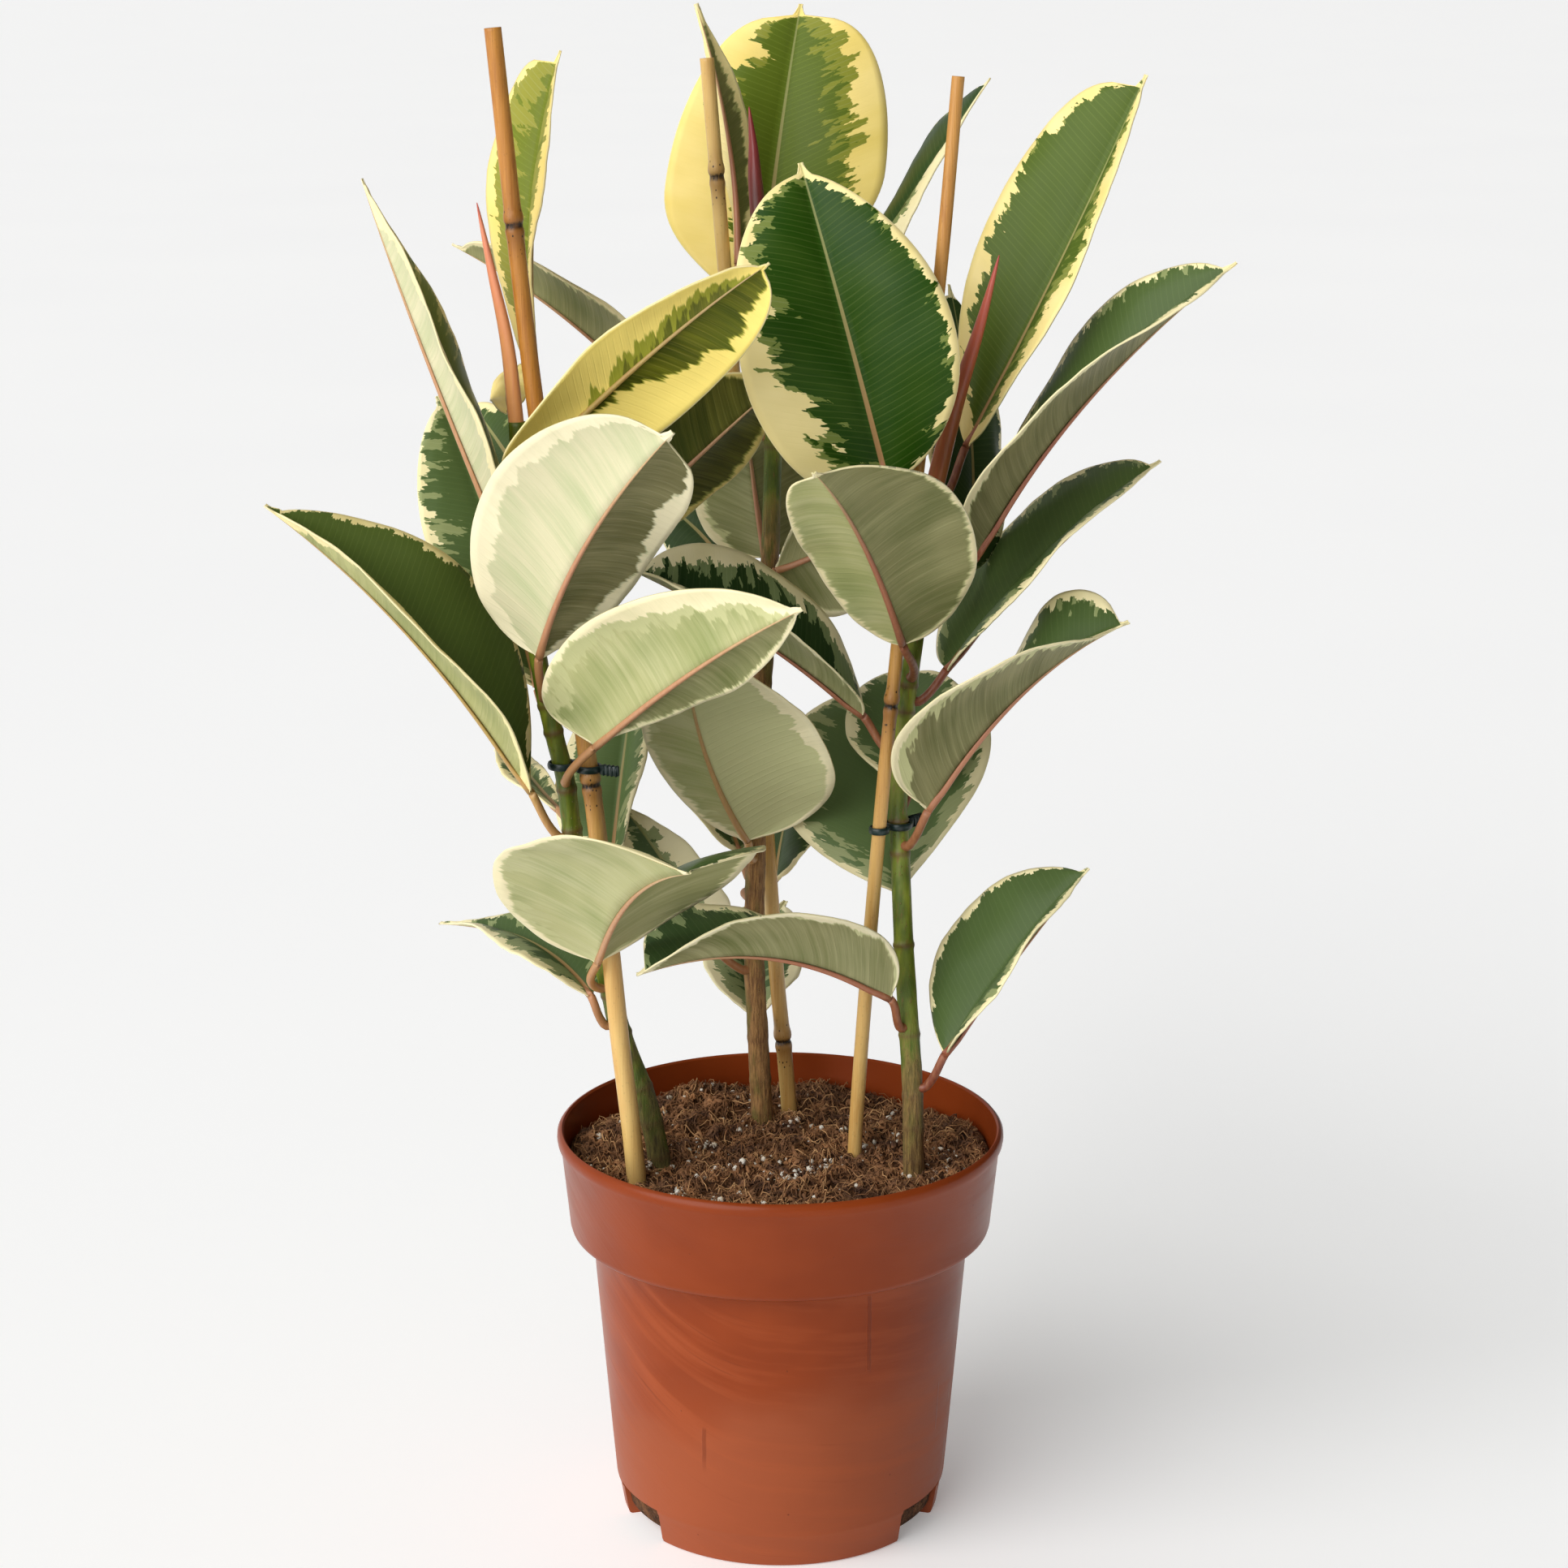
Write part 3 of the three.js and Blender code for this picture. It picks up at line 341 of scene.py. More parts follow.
def shade(red, green, blue):
    """A colour seen on the screen, from 0 to 255 a channel, as the light that makes it."""
    return tuple(((part / 255 + 0.055) / 1.055) ** 2.4 if part > 10 else part / 3295
                 for part in (red, green, blue)) + (1.0,)


# Shader maths

class Value:
    """A number that varies over a surface, for sums in a material."""

    def __init__(self, finish, socket):
        self.finish = finish
        self.socket = socket

    def maths(self, operation, *others, clamp=False):
        settings = {"operation": operation, "use_clamp": clamp}
        return Value(self.finish, self.finish.node("ShaderNodeMath", settings, self, *others).outputs[0])

    __add__ = __radd__ = functools.partialmethod(maths, "ADD")
    __sub__ = functools.partialmethod(maths, "SUBTRACT")
    __mul__ = __rmul__ = functools.partialmethod(maths, "MULTIPLY")
    size = functools.partialmethod(maths, "ABSOLUTE")
    least = functools.partialmethod(maths, "MINIMUM")
    most = functools.partialmethod(maths, "MAXIMUM")
    held = functools.partialmethod(maths, "ADD", 0, clamp=True)     # between 0 and 1

    def __rsub__(self, other):
        return self * -1 + other

    def step(self, low, high):
        """0 below low, 1 above high, and smooth between."""
        settings = {"interpolation_type": "SMOOTHSTEP"}
        made = self.finish.node("ShaderNodeMapRange", settings, self, low, high)
        return Value(self.finish, made.outputs["Result"])


class Finish:
    """One material: its nodes, and the shader that they feed."""

    def __init__(self, name, **numbers):
        self.material = bpy.data.materials.new(name)
        self.material.use_nodes = True
        self.tree = self.material.node_tree
        self.shader = self.tree.nodes["Principled BSDF"]
        for socket, number in numbers.items():
            self.set(socket.replace("_", " "), number)

    def set(self, socket, feed):
        self.plug(self.shader.inputs[socket], feed)

    def plug(self, socket, feed):
        if isinstance(feed, Value):
            feed = feed.socket
        if isinstance(feed, bpy.types.NodeSocket):
            self.tree.links.new(feed, socket)
        else:
            socket.default_value = feed

    def node(self, kind, settings, *feeds, **named):
        made = self.tree.nodes.new(kind)
        for setting, choice in settings.items():
            setattr(made, setting, choice)
        for place, feed in enumerate(feeds):
            self.plug(made.inputs[place], feed)
        for socket, feed in named.items():
            self.plug(made.inputs[socket], feed)
        return made

    def attribute(self, name):
        return Value(self, self.node("ShaderNodeAttribute", {"attribute_name": name}).outputs["Fac"])

    def parts(self, vector):
        """The three numbers of a vector."""
        return [Value(self, part) for part in self.node("ShaderNodeSeparateXYZ", {}, vector).outputs]

    @functools.cached_property
    def place(self):
        """Where a point lies, in millimetres: across, back and up."""
        spot = self.node("ShaderNodeTexCoord", {}).outputs["Object"]
        return [part * 1000 for part in self.parts(spot)]

    def grain(self, x, y, z, detail=2, rough=0.5):
        """Soft noise about 0, in cells one unit wide."""
        spot = self.node("ShaderNodeCombineXYZ", {}, x, y, z).outputs[0]
        made = self.node("ShaderNodeTexNoise", {}, Vector=spot, Scale=1, Detail=detail, Roughness=rough)
        return Value(self, made.outputs[0]) - 0.5

    def speckle(self, across, up, **settings):
        """Soft noise about 0, with so many cells to the millimetre across and up."""
        x, y, z = self.place
        return self.grain(x * across, y * across, z * up, **settings)

    def cells(self, across, up):
        """How far a point is from the nearest of scattered spots, so many to the millimetre."""
        x, y, z = self.place
        spot = self.node("ShaderNodeCombineXYZ", {}, x * across, y * across, z * up).outputs[0]
        return Value(self, self.node("ShaderNodeTexVoronoi", {}, Vector=spot, Scale=1).outputs["Distance"])

    def mix(self, share, first, second):
        """A colour between two, each a feed or its red, green and blue as seen on the screen.

        The share of the second is held between 0 and 1.
        """
        made = self.node("ShaderNodeMix", {"data_type": "RGBA"}, share)
        for place, feed in ((6, first), (7, second)):
            self.plug(made.inputs[place], shade(*feed) if isinstance(feed, tuple) else feed)
        return made.outputs[2]

    def done(self, colour, roughness, height=None, depth=0.0005, strength=0.4):
        """The material, once its shader is fed. The height raises its surface, by metres of depth."""
        self.set("Base Color", colour)
        self.set("Roughness", roughness)
        if height:
            made = self.node("ShaderNodeBump", {}, Height=height, Distance=depth, Strength=strength)
            self.set("Normal", made.outputs["Normal"])
        return self.material


# Leaf materials. The leaf's own attributes give where a point lies on the blade.

class LeafMap:
    """Where a point lies on the blade, and how its leaf is coloured there."""

    def __init__(self, finish):
        self.finish = finish
        self.out = finish.attribute("out")
        self.place = finish.attribute("place")
        self.half = self.out.step(-0.02, 0.02)
        self.reach, self.cream, self.patch = self.on_half("margin")
        self.pale, self.light, self.warm = self.on_half("tone")
        self.inside = self.reach - self.out.size()
        self.vein = finish.attribute("along") - self.out.size() * VEIN_LEAN
        self.seed = finish.attribute("seed") + self.half * 7

    def on_half(self, name):
        """Three facts about the half of the blade that the point lies on."""
        nodes = [self.finish.node("ShaderNodeAttribute", {"attribute_name": f"{name}_{side}"})
                 for side in ("left", "right")]
        return self.finish.parts(self.finish.mix(self.half, *(made.outputs["Vector"] for made in nodes)))

    def tinted(self, ivory, yellow):
        """A colour that goes with the leaf from an ivory one to a yellow one."""
        return self.finish.mix(self.warm, ivory, yellow)

    def streaks(self, width, length, order, detail=2.0, rough=0.5):
        """Noise about 0, drawn out along the side veins."""
        return self.finish.grain(self.vein * (1 / width), self.out * (1 / length), self.seed + order * 3.7,
                                 detail, rough)

    def blocks(self, width, length, order):
        """A random number about 0 for each of the uneven blocks that lie along the side veins."""
        bend = self.streaks(width * 0.6, length * 0.3, order + 0.4, 2, 0.6)
        x = self.vein * (1 / width) + bend * 0.9
        y = self.out * (1 / length) + bend * 0.5
        spot = self.finish.node("ShaderNodeCombineXYZ", {}, x, y, self.seed + order * 3.7).outputs[0]
        made = self.finish.node("ShaderNodeTexVoronoi", {}, Vector=spot, Scale=1)
        return self.finish.parts(made.outputs["Color"])[0] - 0.5

    def soft_blocks(self, width, length, order):
        return self.streaks(width * 1.2, length, order, 2, 0.6) * 1.7

    def variegation(self, shapes, softness):
        """How green a point is, and how far it is at least mid-green, from the margin in."""
        drift = self.streaks(34, 200, 1, 1)
        coarse = shapes(8, 40, 2)
        small = shapes(3, 22, 3)
        teeth = self.streaks(1.7, 20, 4, 2, 0.6)
        ragged = self.cream.least(24) * 0.34 + 2.4
        depth = (self.inside - self.cream * (drift * 1.9 + 1) - ragged * (coarse * 1.5 + small * 0.8)
                 - teeth * 5)
        chance = self.patch * 1.15 - depth * 0.035
        deep = shapes(4.5, 17, 5) * 0.8 + small * 0.3 + 0.5 + teeth * 0.5 - chance
        whole = depth.step(-softness * 0.5, softness * 0.5)
        return deep.step(0, softness * 0.06) * depth.step(0, softness), whole

    def lines(self, spacing, width):
        """1 on each side vein and 0 between."""
        bent = self.vein + self.streaks(40, 60, 6, 1) * 7
        gap = bent.maths("PINGPONG", spacing / 2)
        return 1 - gap.step(0, width)


def leaf_upper():
    finish = Finish("leaf upper face", Specular_IOR_Level=0.15)
    leaf = LeafMap(finish)
    green, middle = leaf.variegation(leaf.blocks, 0.5)
    cloud = leaf.streaks(22, 40, 5)
    fibre = leaf.streaks(1.6, 30, 7, 2, 0.6)
    faded = leaf.tinted((224, 214, 162), (234, 208, 104))
    margin = leaf.tinted((242, 233, 194), (252, 228, 144))
    margin = finish.mix(cloud * 1.5 + 0.3, margin, faded)
    mid = leaf.tinted((116, 132, 90), (118, 130, 30))
    mid = finish.mix(leaf.light, mid, leaf.tinted((156, 164, 118), (150, 148, 60)))
    dark = leaf.tinted((18, 42, 16), (44, 80, 2))
    dark = finish.mix(leaf.light, dark, leaf.tinted((98, 120, 76), (116, 126, 38)))
    worn = leaf.tinted((88, 110, 64), (112, 134, 34))
    dark = finish.mix((cloud * 1.4 + fibre * 0.7 + 0.2).held() * 0.22, dark, worn)
    veins = leaf.lines(VEIN_SPACING, 0.5) * leaf.inside.step(1, 8)
    lined = leaf.tinted((140, 158, 112), (160, 176, 74))
    dark = finish.mix(veins * (0.04 + leaf.warm * 0.08), dark, lined)
    mid = finish.mix(veins * 0.1, mid, (190, 196, 150))
    skin = finish.mix(green, finish.mix(middle, margin, mid), dark)
    rib_width = 1.5 - leaf.place * 1.1
    rib = 1 - (leaf.out.size() - rib_width).step(-0.25, 0.25)
    rib_colour = finish.mix(leaf.place.step(0, 0.85), (180, 134, 90), (172, 172, 112))
    skin = finish.mix(rib * (0.9 - leaf.place * 0.4), skin, rib_colour)
    skin = finish.mix((1 - leaf.inside.step(0, 0.8)) * 0.5, skin, (240, 230, 186))
    return finish.done(skin, 0.4 - green * 0.04 + cloud * 0.12, fibre * 0.2 - veins * 0.14)


def leaf_lower():
    finish = Finish("leaf underside", Specular_IOR_Level=0.2)
    leaf = LeafMap(finish)
    green, middle = leaf.variegation(leaf.soft_blocks, 2.0)
    streak = leaf.streaks(3.0, 70, 8, 3, 0.7)
    hair = leaf.streaks(0.9, 50, 10, 2, 0.6)
    band = leaf.streaks(15, 50, 9, 1)
    cloud = leaf.streaks(40, 30, 5, 1)
    margin = leaf.tinted((240, 232, 200), (250, 226, 124))
    mid = leaf.tinted((202, 202, 154), (150, 152, 50))
    paler = finish.mix(streak * 2 + band * 2 + 0.4, (214, 208, 170), (190, 194, 150))
    mid = finish.mix(leaf.light.step(0.75, 1), mid, paler)
    olive = leaf.tinted((110, 104, 68), (64, 70, 6))
    lime = leaf.tinted((188, 188, 138), (162, 162, 76))
    body = finish.mix(leaf.pale, olive, lime)
    lifted = finish.mix(leaf.pale, (148, 142, 104), (216, 214, 168))
    lifted = leaf.tinted(lifted, (122, 124, 30))
    body = finish.mix(streak * 1.3 + band * 1.6 + 0.22, body, lifted)
    lowered = finish.mix(leaf.pale, (70, 72, 40), (128, 146, 78))
    lowered = leaf.tinted(lowered, (66, 84, 8))
    body = finish.mix((cloud * 1.8 - streak * 1.1 + 0.2).held() * 0.8, body, lowered)
    margin = finish.mix((band * 1.8 + streak * 1.2 + 0.05).held() * (0.6 - leaf.warm * 0.45), margin, mid)
    skin = finish.mix(green, finish.mix(middle, margin, mid), body)
    veins = leaf.lines(VEIN_SPACING * 1.3, 0.6) * leaf.inside.step(1, 8)
    fine = leaf.tinted((222, 216, 176), (206, 192, 96))
    skin = finish.mix(veins * 0.06 + hair * 0.3, skin, fine)
    skin = finish.mix((1 - leaf.inside.step(0, 0.9)) * 0.6, skin, (242, 232, 196))
    return finish.done(skin, 0.5 + cloud * 0.15, veins * 0.3 + streak * 0.4 + hair * 0.4, 0.0006, 0.5)


def stalk_skin():
    """Stalks and midribs: red-brown at the stem, salmon on the blade and pale at its tip."""
    finish = Finish("leaf stalk")
    place = finish.attribute("place")
    ruddy = finish.attribute("ruddy")
    streak = finish.speckle(0.5, 0.12, detail=3)
    stalk = finish.mix(ruddy, (198, 152, 92), (112, 40, 32))
    rib = finish.mix(ruddy, (176, 152, 80), (156, 84, 62))
    rib = finish.mix(ruddy * 2.5 + 0.05, rib, finish.mix(ruddy, (214, 166, 128), (156, 84, 62)))
    skin = finish.mix(place.step(-0.2, 0.25), stalk, rib)
    skin = finish.mix(place.step(0.35, 1) * 0.8, skin, (196, 176, 128))
    skin = finish.mix(streak * 1.5 + 0.2, skin, (176, 122, 84))
    return finish.done(skin, 0.45, streak, 0.0004)


# Other materials

def stem_bark():
    """Furrowed brown bark low down, green skin with brown streaks above it."""
    finish = Finish("stem bark")
    woody = finish.attribute("woody")
    scar = finish.attribute("scar")
    tint = finish.attribute("tint")
    furrow = finish.speckle(0.9, 0.09, detail=4, rough=0.7)
    blotch = finish.speckle(0.12, 0.035, detail=3)
    bark = finish.mix(furrow * 3.2 + 0.45, finish.mix(tint, (62, 54, 20), (112, 76, 38)),
                      finish.mix(tint, (126, 116, 58), (190, 142, 84)))
    bark = finish.mix(blotch.step(-0.06, 0.12) * (tint * 0.45 + 0.25), bark, (98, 100, 34))
    green = finish.mix(blotch * 4 + 0.45, (80, 98, 16), (140, 150, 46))
    green = finish.mix(furrow.step(0.04, 0.2) * 0.7, green, (126, 92, 44))
    skin = finish.mix((woody + blotch * 1.6).step(0.3, 0.7), green, bark)
    skin = finish.mix(scar * (0.75 - woody * 0.5), skin, (98, 62, 36))
    warts = 1 - finish.cells(0.35, 0.3).step(0.08, 0.17)
    skin = finish.mix(warts * 0.5, skin, (160, 132, 84))
    return finish.done(skin, 0.45 + woody * 0.3, furrow * (woody + 0.15) + warts * 0.3, 0.0016, 1.0)


def bamboo():
    """Straw-coloured cane, browner in long stains, with dark specks round each joint."""
    finish = Finish("bamboo", Specular_IOR_Level=0.45)
    x, y, z = finish.place
    joint = finish.attribute("joint")
    groove = finish.attribute("groove")
    tint = finish.attribute("tint") * ((z - 330).step(-100, 260) * 0.85 + 0.15)
    fibre = finish.speckle(1.6, 0.03, detail=3, rough=0.6)
    stain = finish.speckle(0.07, 0.012)
    light = finish.mix(tint, (226, 194, 122), (206, 142, 62))
    cane = finish.mix(stain * 3.2 + 0.35 + tint * 0.25, light,
                      finish.mix(tint, (200, 148, 76), (150, 88, 24)))
    cane = finish.mix(fibre * 2 + 0.2, cane, light)
    cane = finish.mix(joint * 0.6, cane, (128, 78, 32))
    specks = 1 - finish.cells(0.45, 0.3).step(0.12, 0.24)
    soot = (joint + stain * 0.8 + fibre * 0.5).step(0.2, 0.55)
    cane = finish.mix(specks * (soot * 0.95 + 0.12), cane, (44, 30, 18))
    cane = finish.mix(groove * (fibre * 3 + 1.2), cane, (26, 18, 12))
    return finish.done(cane, 0.36 + fibre * 0.2, fibre, 0.0005, 0.5)


def bamboo_pith():
    finish = Finish("bamboo pith")
    fibre = finish.speckle(2, 2, detail=3)
    return finish.done(finish.mix(fibre * 2 + 0.5, (150, 112, 64), (206, 170, 112)), 0.8)


def sheath_skin(name, low, high, tip):
    finish = Finish(name, Specular_IOR_Level=0.5)
    place = finish.attribute("place")
    streak = finish.speckle(0.6, 0.05, detail=3)
    skin = finish.mix(place.step(0.1, 0.8), low, high)
    skin = finish.mix(place.step(0.85, 1), skin, tip)
    skin = finish.mix(streak * 1.4 + 0.2, skin, high)
    return finish.done(skin, 0.34, streak)


def terracotta_plastic():
    """Moulded plastic, plain on the collar, with dried smears in arcs and a few drips on the wall."""
    finish = Finish("terracotta plastic", Specular_IOR_Level=0.18)
    x, y, z = finish.place
    wall_part = 1 - (z - 158).step(0, 4)
    tone = finish.speckle(0.02, 0.03)
    left = x.least(0)
    arc = z - left * left * 0.006 + x.most(0) * 0.12
    smear = finish.grain(arc * 0.09, x * 0.008, y * 0.01, detail=4, rough=0.6)
    scrape = finish.grain(arc * 0.55, x * 0.012, y * 0.02, detail=3, rough=0.6)
    dusty = (1 - (z - 92 + tone * 70 - left * 0.25).step(-22, 26)) * wall_part
    streak = finish.speckle(0.16, 0.004)
    running = streak.step(0.14, 0.19) * (x - 70).step(0, 20) * wall_part
    for at, top, foot in DRIPS:
        wander = finish.grain(0, 0, z * 0.08) * 2
        near = 1 - ((x - at + wander).size() - 0.7).step(0, 0.6)
        upright = (z - foot).step(0, 12) * (1 - (z - top).step(0, 3))
        running = running.most(near * upright * (1 - y.step(0, 1)))
    speck = 1 - finish.cells(0.07, 0.07).step(0.02, 0.05)
    wall = finish.mix(tone * 2 + 0.5, (126, 51, 17), (140, 60, 22))
    wall = finish.mix(dusty * 0.6, wall, (156, 82, 50))
    wall = finish.mix((smear * 4).held() * wall_part * 0.5, wall, (164, 80, 42))
    marked = scrape.step(0.1, 0.22) * smear.step(-0.04, 0.08) * wall_part * (1 - x.step(-10, 60))
    wall = finish.mix(marked * 0.45, wall, (100, 40, 16))
    wall = finish.mix(running * 0.4, wall, (96, 36, 16))
    wall = finish.mix(speck * 0.6, wall, (92, 40, 20))
    # Painted shade: inside the pot, above its ledge, the wall is darkened to the colour of the shade that
    # falls in there.
    inner = (x * x + y * y).maths("SQRT")
    inside = (z - 160).step(0, 8) * (1 - (inner - 108 - (z - 165) * 0.12).step(-0.5, 1.5))
    wall = finish.mix(inside * 0.85, wall, (84, 38, 24))
    roughness = 0.3 + dusty * 0.14 + tone * 0.1 + smear.held() * 0.3 - running * 0.12
    height = smear * 0.4 + scrape * 0.1 + speck * 0.4 + running * 0.5 + tone * 2
    return finish.done(wall, roughness, height, 0.0012, 0.3)


def coir_soil():
    finish = Finish("coir and peat", Specular_IOR_Level=0.2)
    x, y, z = finish.place
    clod = finish.speckle(0.12, 0.12, detail=4, rough=0.7)
    fibre = finish.grain(x * 0.9, y * 0.35, z * 0.9, detail=4, rough=0.7)
    crumb = finish.cells(0.35, 0.35)
    soil = finish.mix(clod * 2.8 + 0.4, (62, 39, 25), (134, 90, 56))
    soil = finish.mix(fibre.step(0.06, 0.22) * 0.7, soil, (160, 114, 74))
    soil = finish.mix(1 - crumb.step(0.1, 0.3), soil, (40, 26, 17))
    return finish.done(soil, 0.92, clod + fibre * 0.6 + crumb * 0.5, 0.004, 0.9)


def coir_fibre(name, dark, light):
    finish = Finish(name)
    tone = finish.speckle(0.06, 0.2, detail=3)
    return finish.done(finish.mix(tone * 3 + 0.5, dark, light), 0.85, tone)


def perlite():
    finish = Finish("perlite")
    pits = finish.cells(1.6, 1.6)
    stain = finish.speckle(0.15, 0.15)
    white = finish.mix(stain * 2 + 0.3, (242, 238, 228), (206, 186, 158))
    colour = finish.mix(1 - pits.step(0.1, 0.35), white, (176, 158, 134))
    return finish.done(colour, 0.85, pits, 0.0006, 0.6)


def clip_plastic():
    finish = Finish("clip plastic")
    wear = finish.speckle(0.3, 0.3, detail=3)
    colour = finish.mix(wear * 2 + 0.4, (14, 30, 28), (36, 58, 54))
    return finish.done(colour, 0.34 + wear * 0.3, wear, 0.0004, 0.3)


def studio_floor():
    finish = Finish("studio floor", Specular_IOR_Level=0.2, Emission_Strength=FLOOR_GLOW)
    white = finish.mix(finish.speckle(0.001, 0) + 0.5, (250, 250, 249), (246, 246, 246))
    finish.set("Emission Color", white)
    return finish.done(white, 0.7)


# Curves and round bars

def curve_point(points, place):
    """A point on the smooth curve through the points, which takes more care where they are close."""
    spans = len(points) - 1
    span = min(int(place * spans), spans - 1)
    share = place * spans - span
    start, end = points[span], points[span + 1]
    before = points[span - 1] if span else start * 2 - end
    after = points[span + 2] if span + 2 <= spans else end * 2 - start
    near, here, far = ((b - a).length ** 0.5 for a, b in ((before, start), (start, end), (end, after)))
    leave = (start - before) / near - (end - before) / (near + here) + (end - start) / here
    arrive = (end - start) / here - (after - start) / (here + far) + (after - end) / far
    leave, arrive = leave * here, arrive * here
    return (start + leave * share + (end * 3 - start * 3 - leave * 2 - arrive) * share ** 2
            + (start * 2 - end * 2 + leave + arrive) * share ** 3)


def smooth(points):
    """A curve as a function of the place along it."""
    return functools.cache(lambda place: curve_point(points, place))


def axis_of(part, buried=STEM_BURIED):
    """The axis of a stem or cane, from its buried end up."""
    path = [Vector(spot) for spot in part["path"]]
    start = path[0] + (path[0] - path[1]) * 0.5
    start.z = buried
    return smooth([start, *path])


def place_at_height(axis, height):
    low, high = 0.0, 1.0
    for _ in range(30):
        half = (low + high) / 2
        low, high = (half, high) if axis(half).z < height else (low, half)
    return low


def ring_frame(centre, along, across, turn, radius):
    """A corner of a round section, square to the direction along."""
    first = (across - along * across.dot(along)).normalized()
    second = along.cross(first)
    return centre + (first * math.cos(turn) + second * math.sin(turn)) * radius


def rod(mesh, corner, record=None, finish=0, *, sides, steps):
    """A closed bar: a grid rolled up by corner(place, turn), with its ends filled."""
    made = bmesh.ops.create_grid(mesh, x_segments=sides, y_segments=steps, size=1)["verts"]
    faces = {face for vert in made for face in vert.link_faces}
    for vert in made:
        place = round((vert.co.y + 1) / 2, 6)
        turn = (vert.co.x + 1) * math.pi
        vert.co = corner(place, turn)
        if record:
            record(vert, place)
    bmesh.ops.remove_doubles(mesh, verts=made, dist=1e-4)
    made = [vert for vert in made if vert.is_valid]
    rims = list({edge for vert in made for edge in vert.link_edges if edge.is_boundary})
    caps = bmesh.ops.holes_fill(mesh, edges=rims, sides=0)["faces"]
    faces = [face for face in faces if face.is_valid] + caps
    for face in faces:
        face.material_index = finish
    bmesh.ops.recalc_face_normals(mesh, faces=faces)
    return made, caps


def round_bar(mesh, axis, radius, facts, nearby=0.002, **counts):
    """A rod on an axis. Its radius and each fact for its finish are functions of the place."""
    layers = {name: mesh.verts.layers.float.new(name) for name in facts}

    def corner(place, turn):
        along = (axis(min(place + nearby, 1)) - axis(max(place - nearby, 0))).normalized()
        return ring_frame(axis(place), along, Vector((1, 0, 0)), turn, radius(place, turn))

    def record(vert, place):
        for name, fact in facts.items():
            vert[layers[name]] = fact(place)

    return rod(mesh, corner, record, **counts)


def mesh_data(name, mesh):
    """Turns a bmesh in millimetres into mesh data in metres."""
    bmesh.ops.scale(mesh, vec=(MM, MM, MM), verts=mesh.verts)
    data = bpy.data.meshes.new(name)
    mesh.to_mesh(data)
    mesh.free()
    return data


def shown(name, data):
    """Puts data into the picture."""
    made = bpy.data.objects.new(name, data)
    bpy.context.scene.collection.objects.link(made)
    return made


def settled(thing):
    """The mesh of a thing with its modifiers or its bevel worked out."""
    return bpy.data.meshes.new_from_object(thing.evaluated_get(bpy.context.evaluated_depsgraph_get()))


def placed(name, data, finishes, node=None):
    """Turns mesh data into a piece that rides on the plant."""
    for finish in finishes:
        data.materials.append(finish)
    piece = shown(name, data)
    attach(piece, "root")
    if node:
        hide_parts(node)
    return piece


def finished(name, mesh, finishes, node=None):
    for face in mesh.faces:
        face.smooth = True
    return placed(name, mesh_data(name, mesh), finishes, node)


# Stems, canes and sheaths

def stem_piece(side, bark):
    part = STEMS[side]
    axis = axis_of(part)
    mesh = bmesh.new()
    joints = [leaf["height"] - 5 for leaf in LEAVES[side]]
    joints += range(205, joints[0] - 12, SCAR_STEP)

    def woody(place):
        return max(0, min(1, (part["bark"] + 40 - axis(place).z) / BARK_FADE))

    def scar(place):
        return max(math.exp(-((axis(place).z - joint) / SCAR_WIDTH) ** 2) for joint in joints)

    def radius(place, turn):
        height = axis(place).z
        rough = max(0.15, min(1, (part["bark"] + 60 - height) / 160))
        spot = Vector((math.cos(turn) * 2.2, math.sin(turn) * 2.2, height / 13))
        furrow = noise.noise(spot) + 0.5 * noise.noise(spot * 2.3)
        return (part["foot"] + (part["top"] - part["foot"]) * place
                + (furrow * STEM_FURROWS * rough + (0.7 - 0.45 * rough) * scar(place)))

    facts = dict(woody=woody, scar=scar, tint=lambda place: part["tint"])
    round_bar(mesh, axis, radius, facts, sides=32, steps=300)
    return finished(f"stem_{side}_bark", mesh, [bark], f"stem_{side}")


def cane_piece(side, skin, pith):
    part = CANES[side]
    axis = axis_of(part, CANE_BURIED)
    mesh = bmesh.new()

    def near(place, above, spread):
        height = axis(place).z
        return max(math.exp(-((height - joint - above) / spread) ** 2) for joint in part["joints"])

    def radius(place, turn):
        swell = sum(rise * near(place, above, spread) for rise, above, spread in JOINT_RINGS)
        grain = noise.noise(Vector((math.cos(turn), math.sin(turn), axis(place).z / 40)))
        return part["foot"] + (part["top"] - part["foot"]) * place + swell + 0.12 * grain

    facts = dict(joint=lambda place: near(place, -6, 12), groove=lambda place: near(place, -3.6, 1.4),
                 tint=lambda place: part["tint"])
    _, caps = round_bar(mesh, axis, radius, facts, sides=24, steps=700)
    top = max(caps, key=lambda face: face.calc_center_median().z)
    bmesh.ops.inset_region(mesh, faces=[top], thickness=part["top"] * CANE_WALL)
    top.material_index = 1
    sunk = bmesh.ops.extrude_discrete_faces(mesh, faces=[top])["faces"]
    bmesh.ops.translate(mesh, vec=(0, 0, -CANE_HOLE_DEPTH), verts=sunk[0].verts)
    return finished(f"cane_{side}_bamboo", mesh, [skin, pith], f"cane_{side}")


def sheath_piece(side, skin):
    part = SHEATHS[side]
    mesh = bmesh.new()

    def radius(place, turn):
        body = part["base"] * math.cos(place * math.pi / 2) ** 0.75 + SHEATH_POINT
        return body * (1 + 0.1 * math.cos(turn * 2 + place * 3))

    axis = smooth([Vector(spot) for spot in part["path"]])
    round_bar(mesh, axis, radius, dict(place=lambda place: place), nearby=0.01, sides=24, steps=60)
    return finished(f"sheath_{side}_bud", mesh, [skin], f"sheath_{side}")


# Leaves

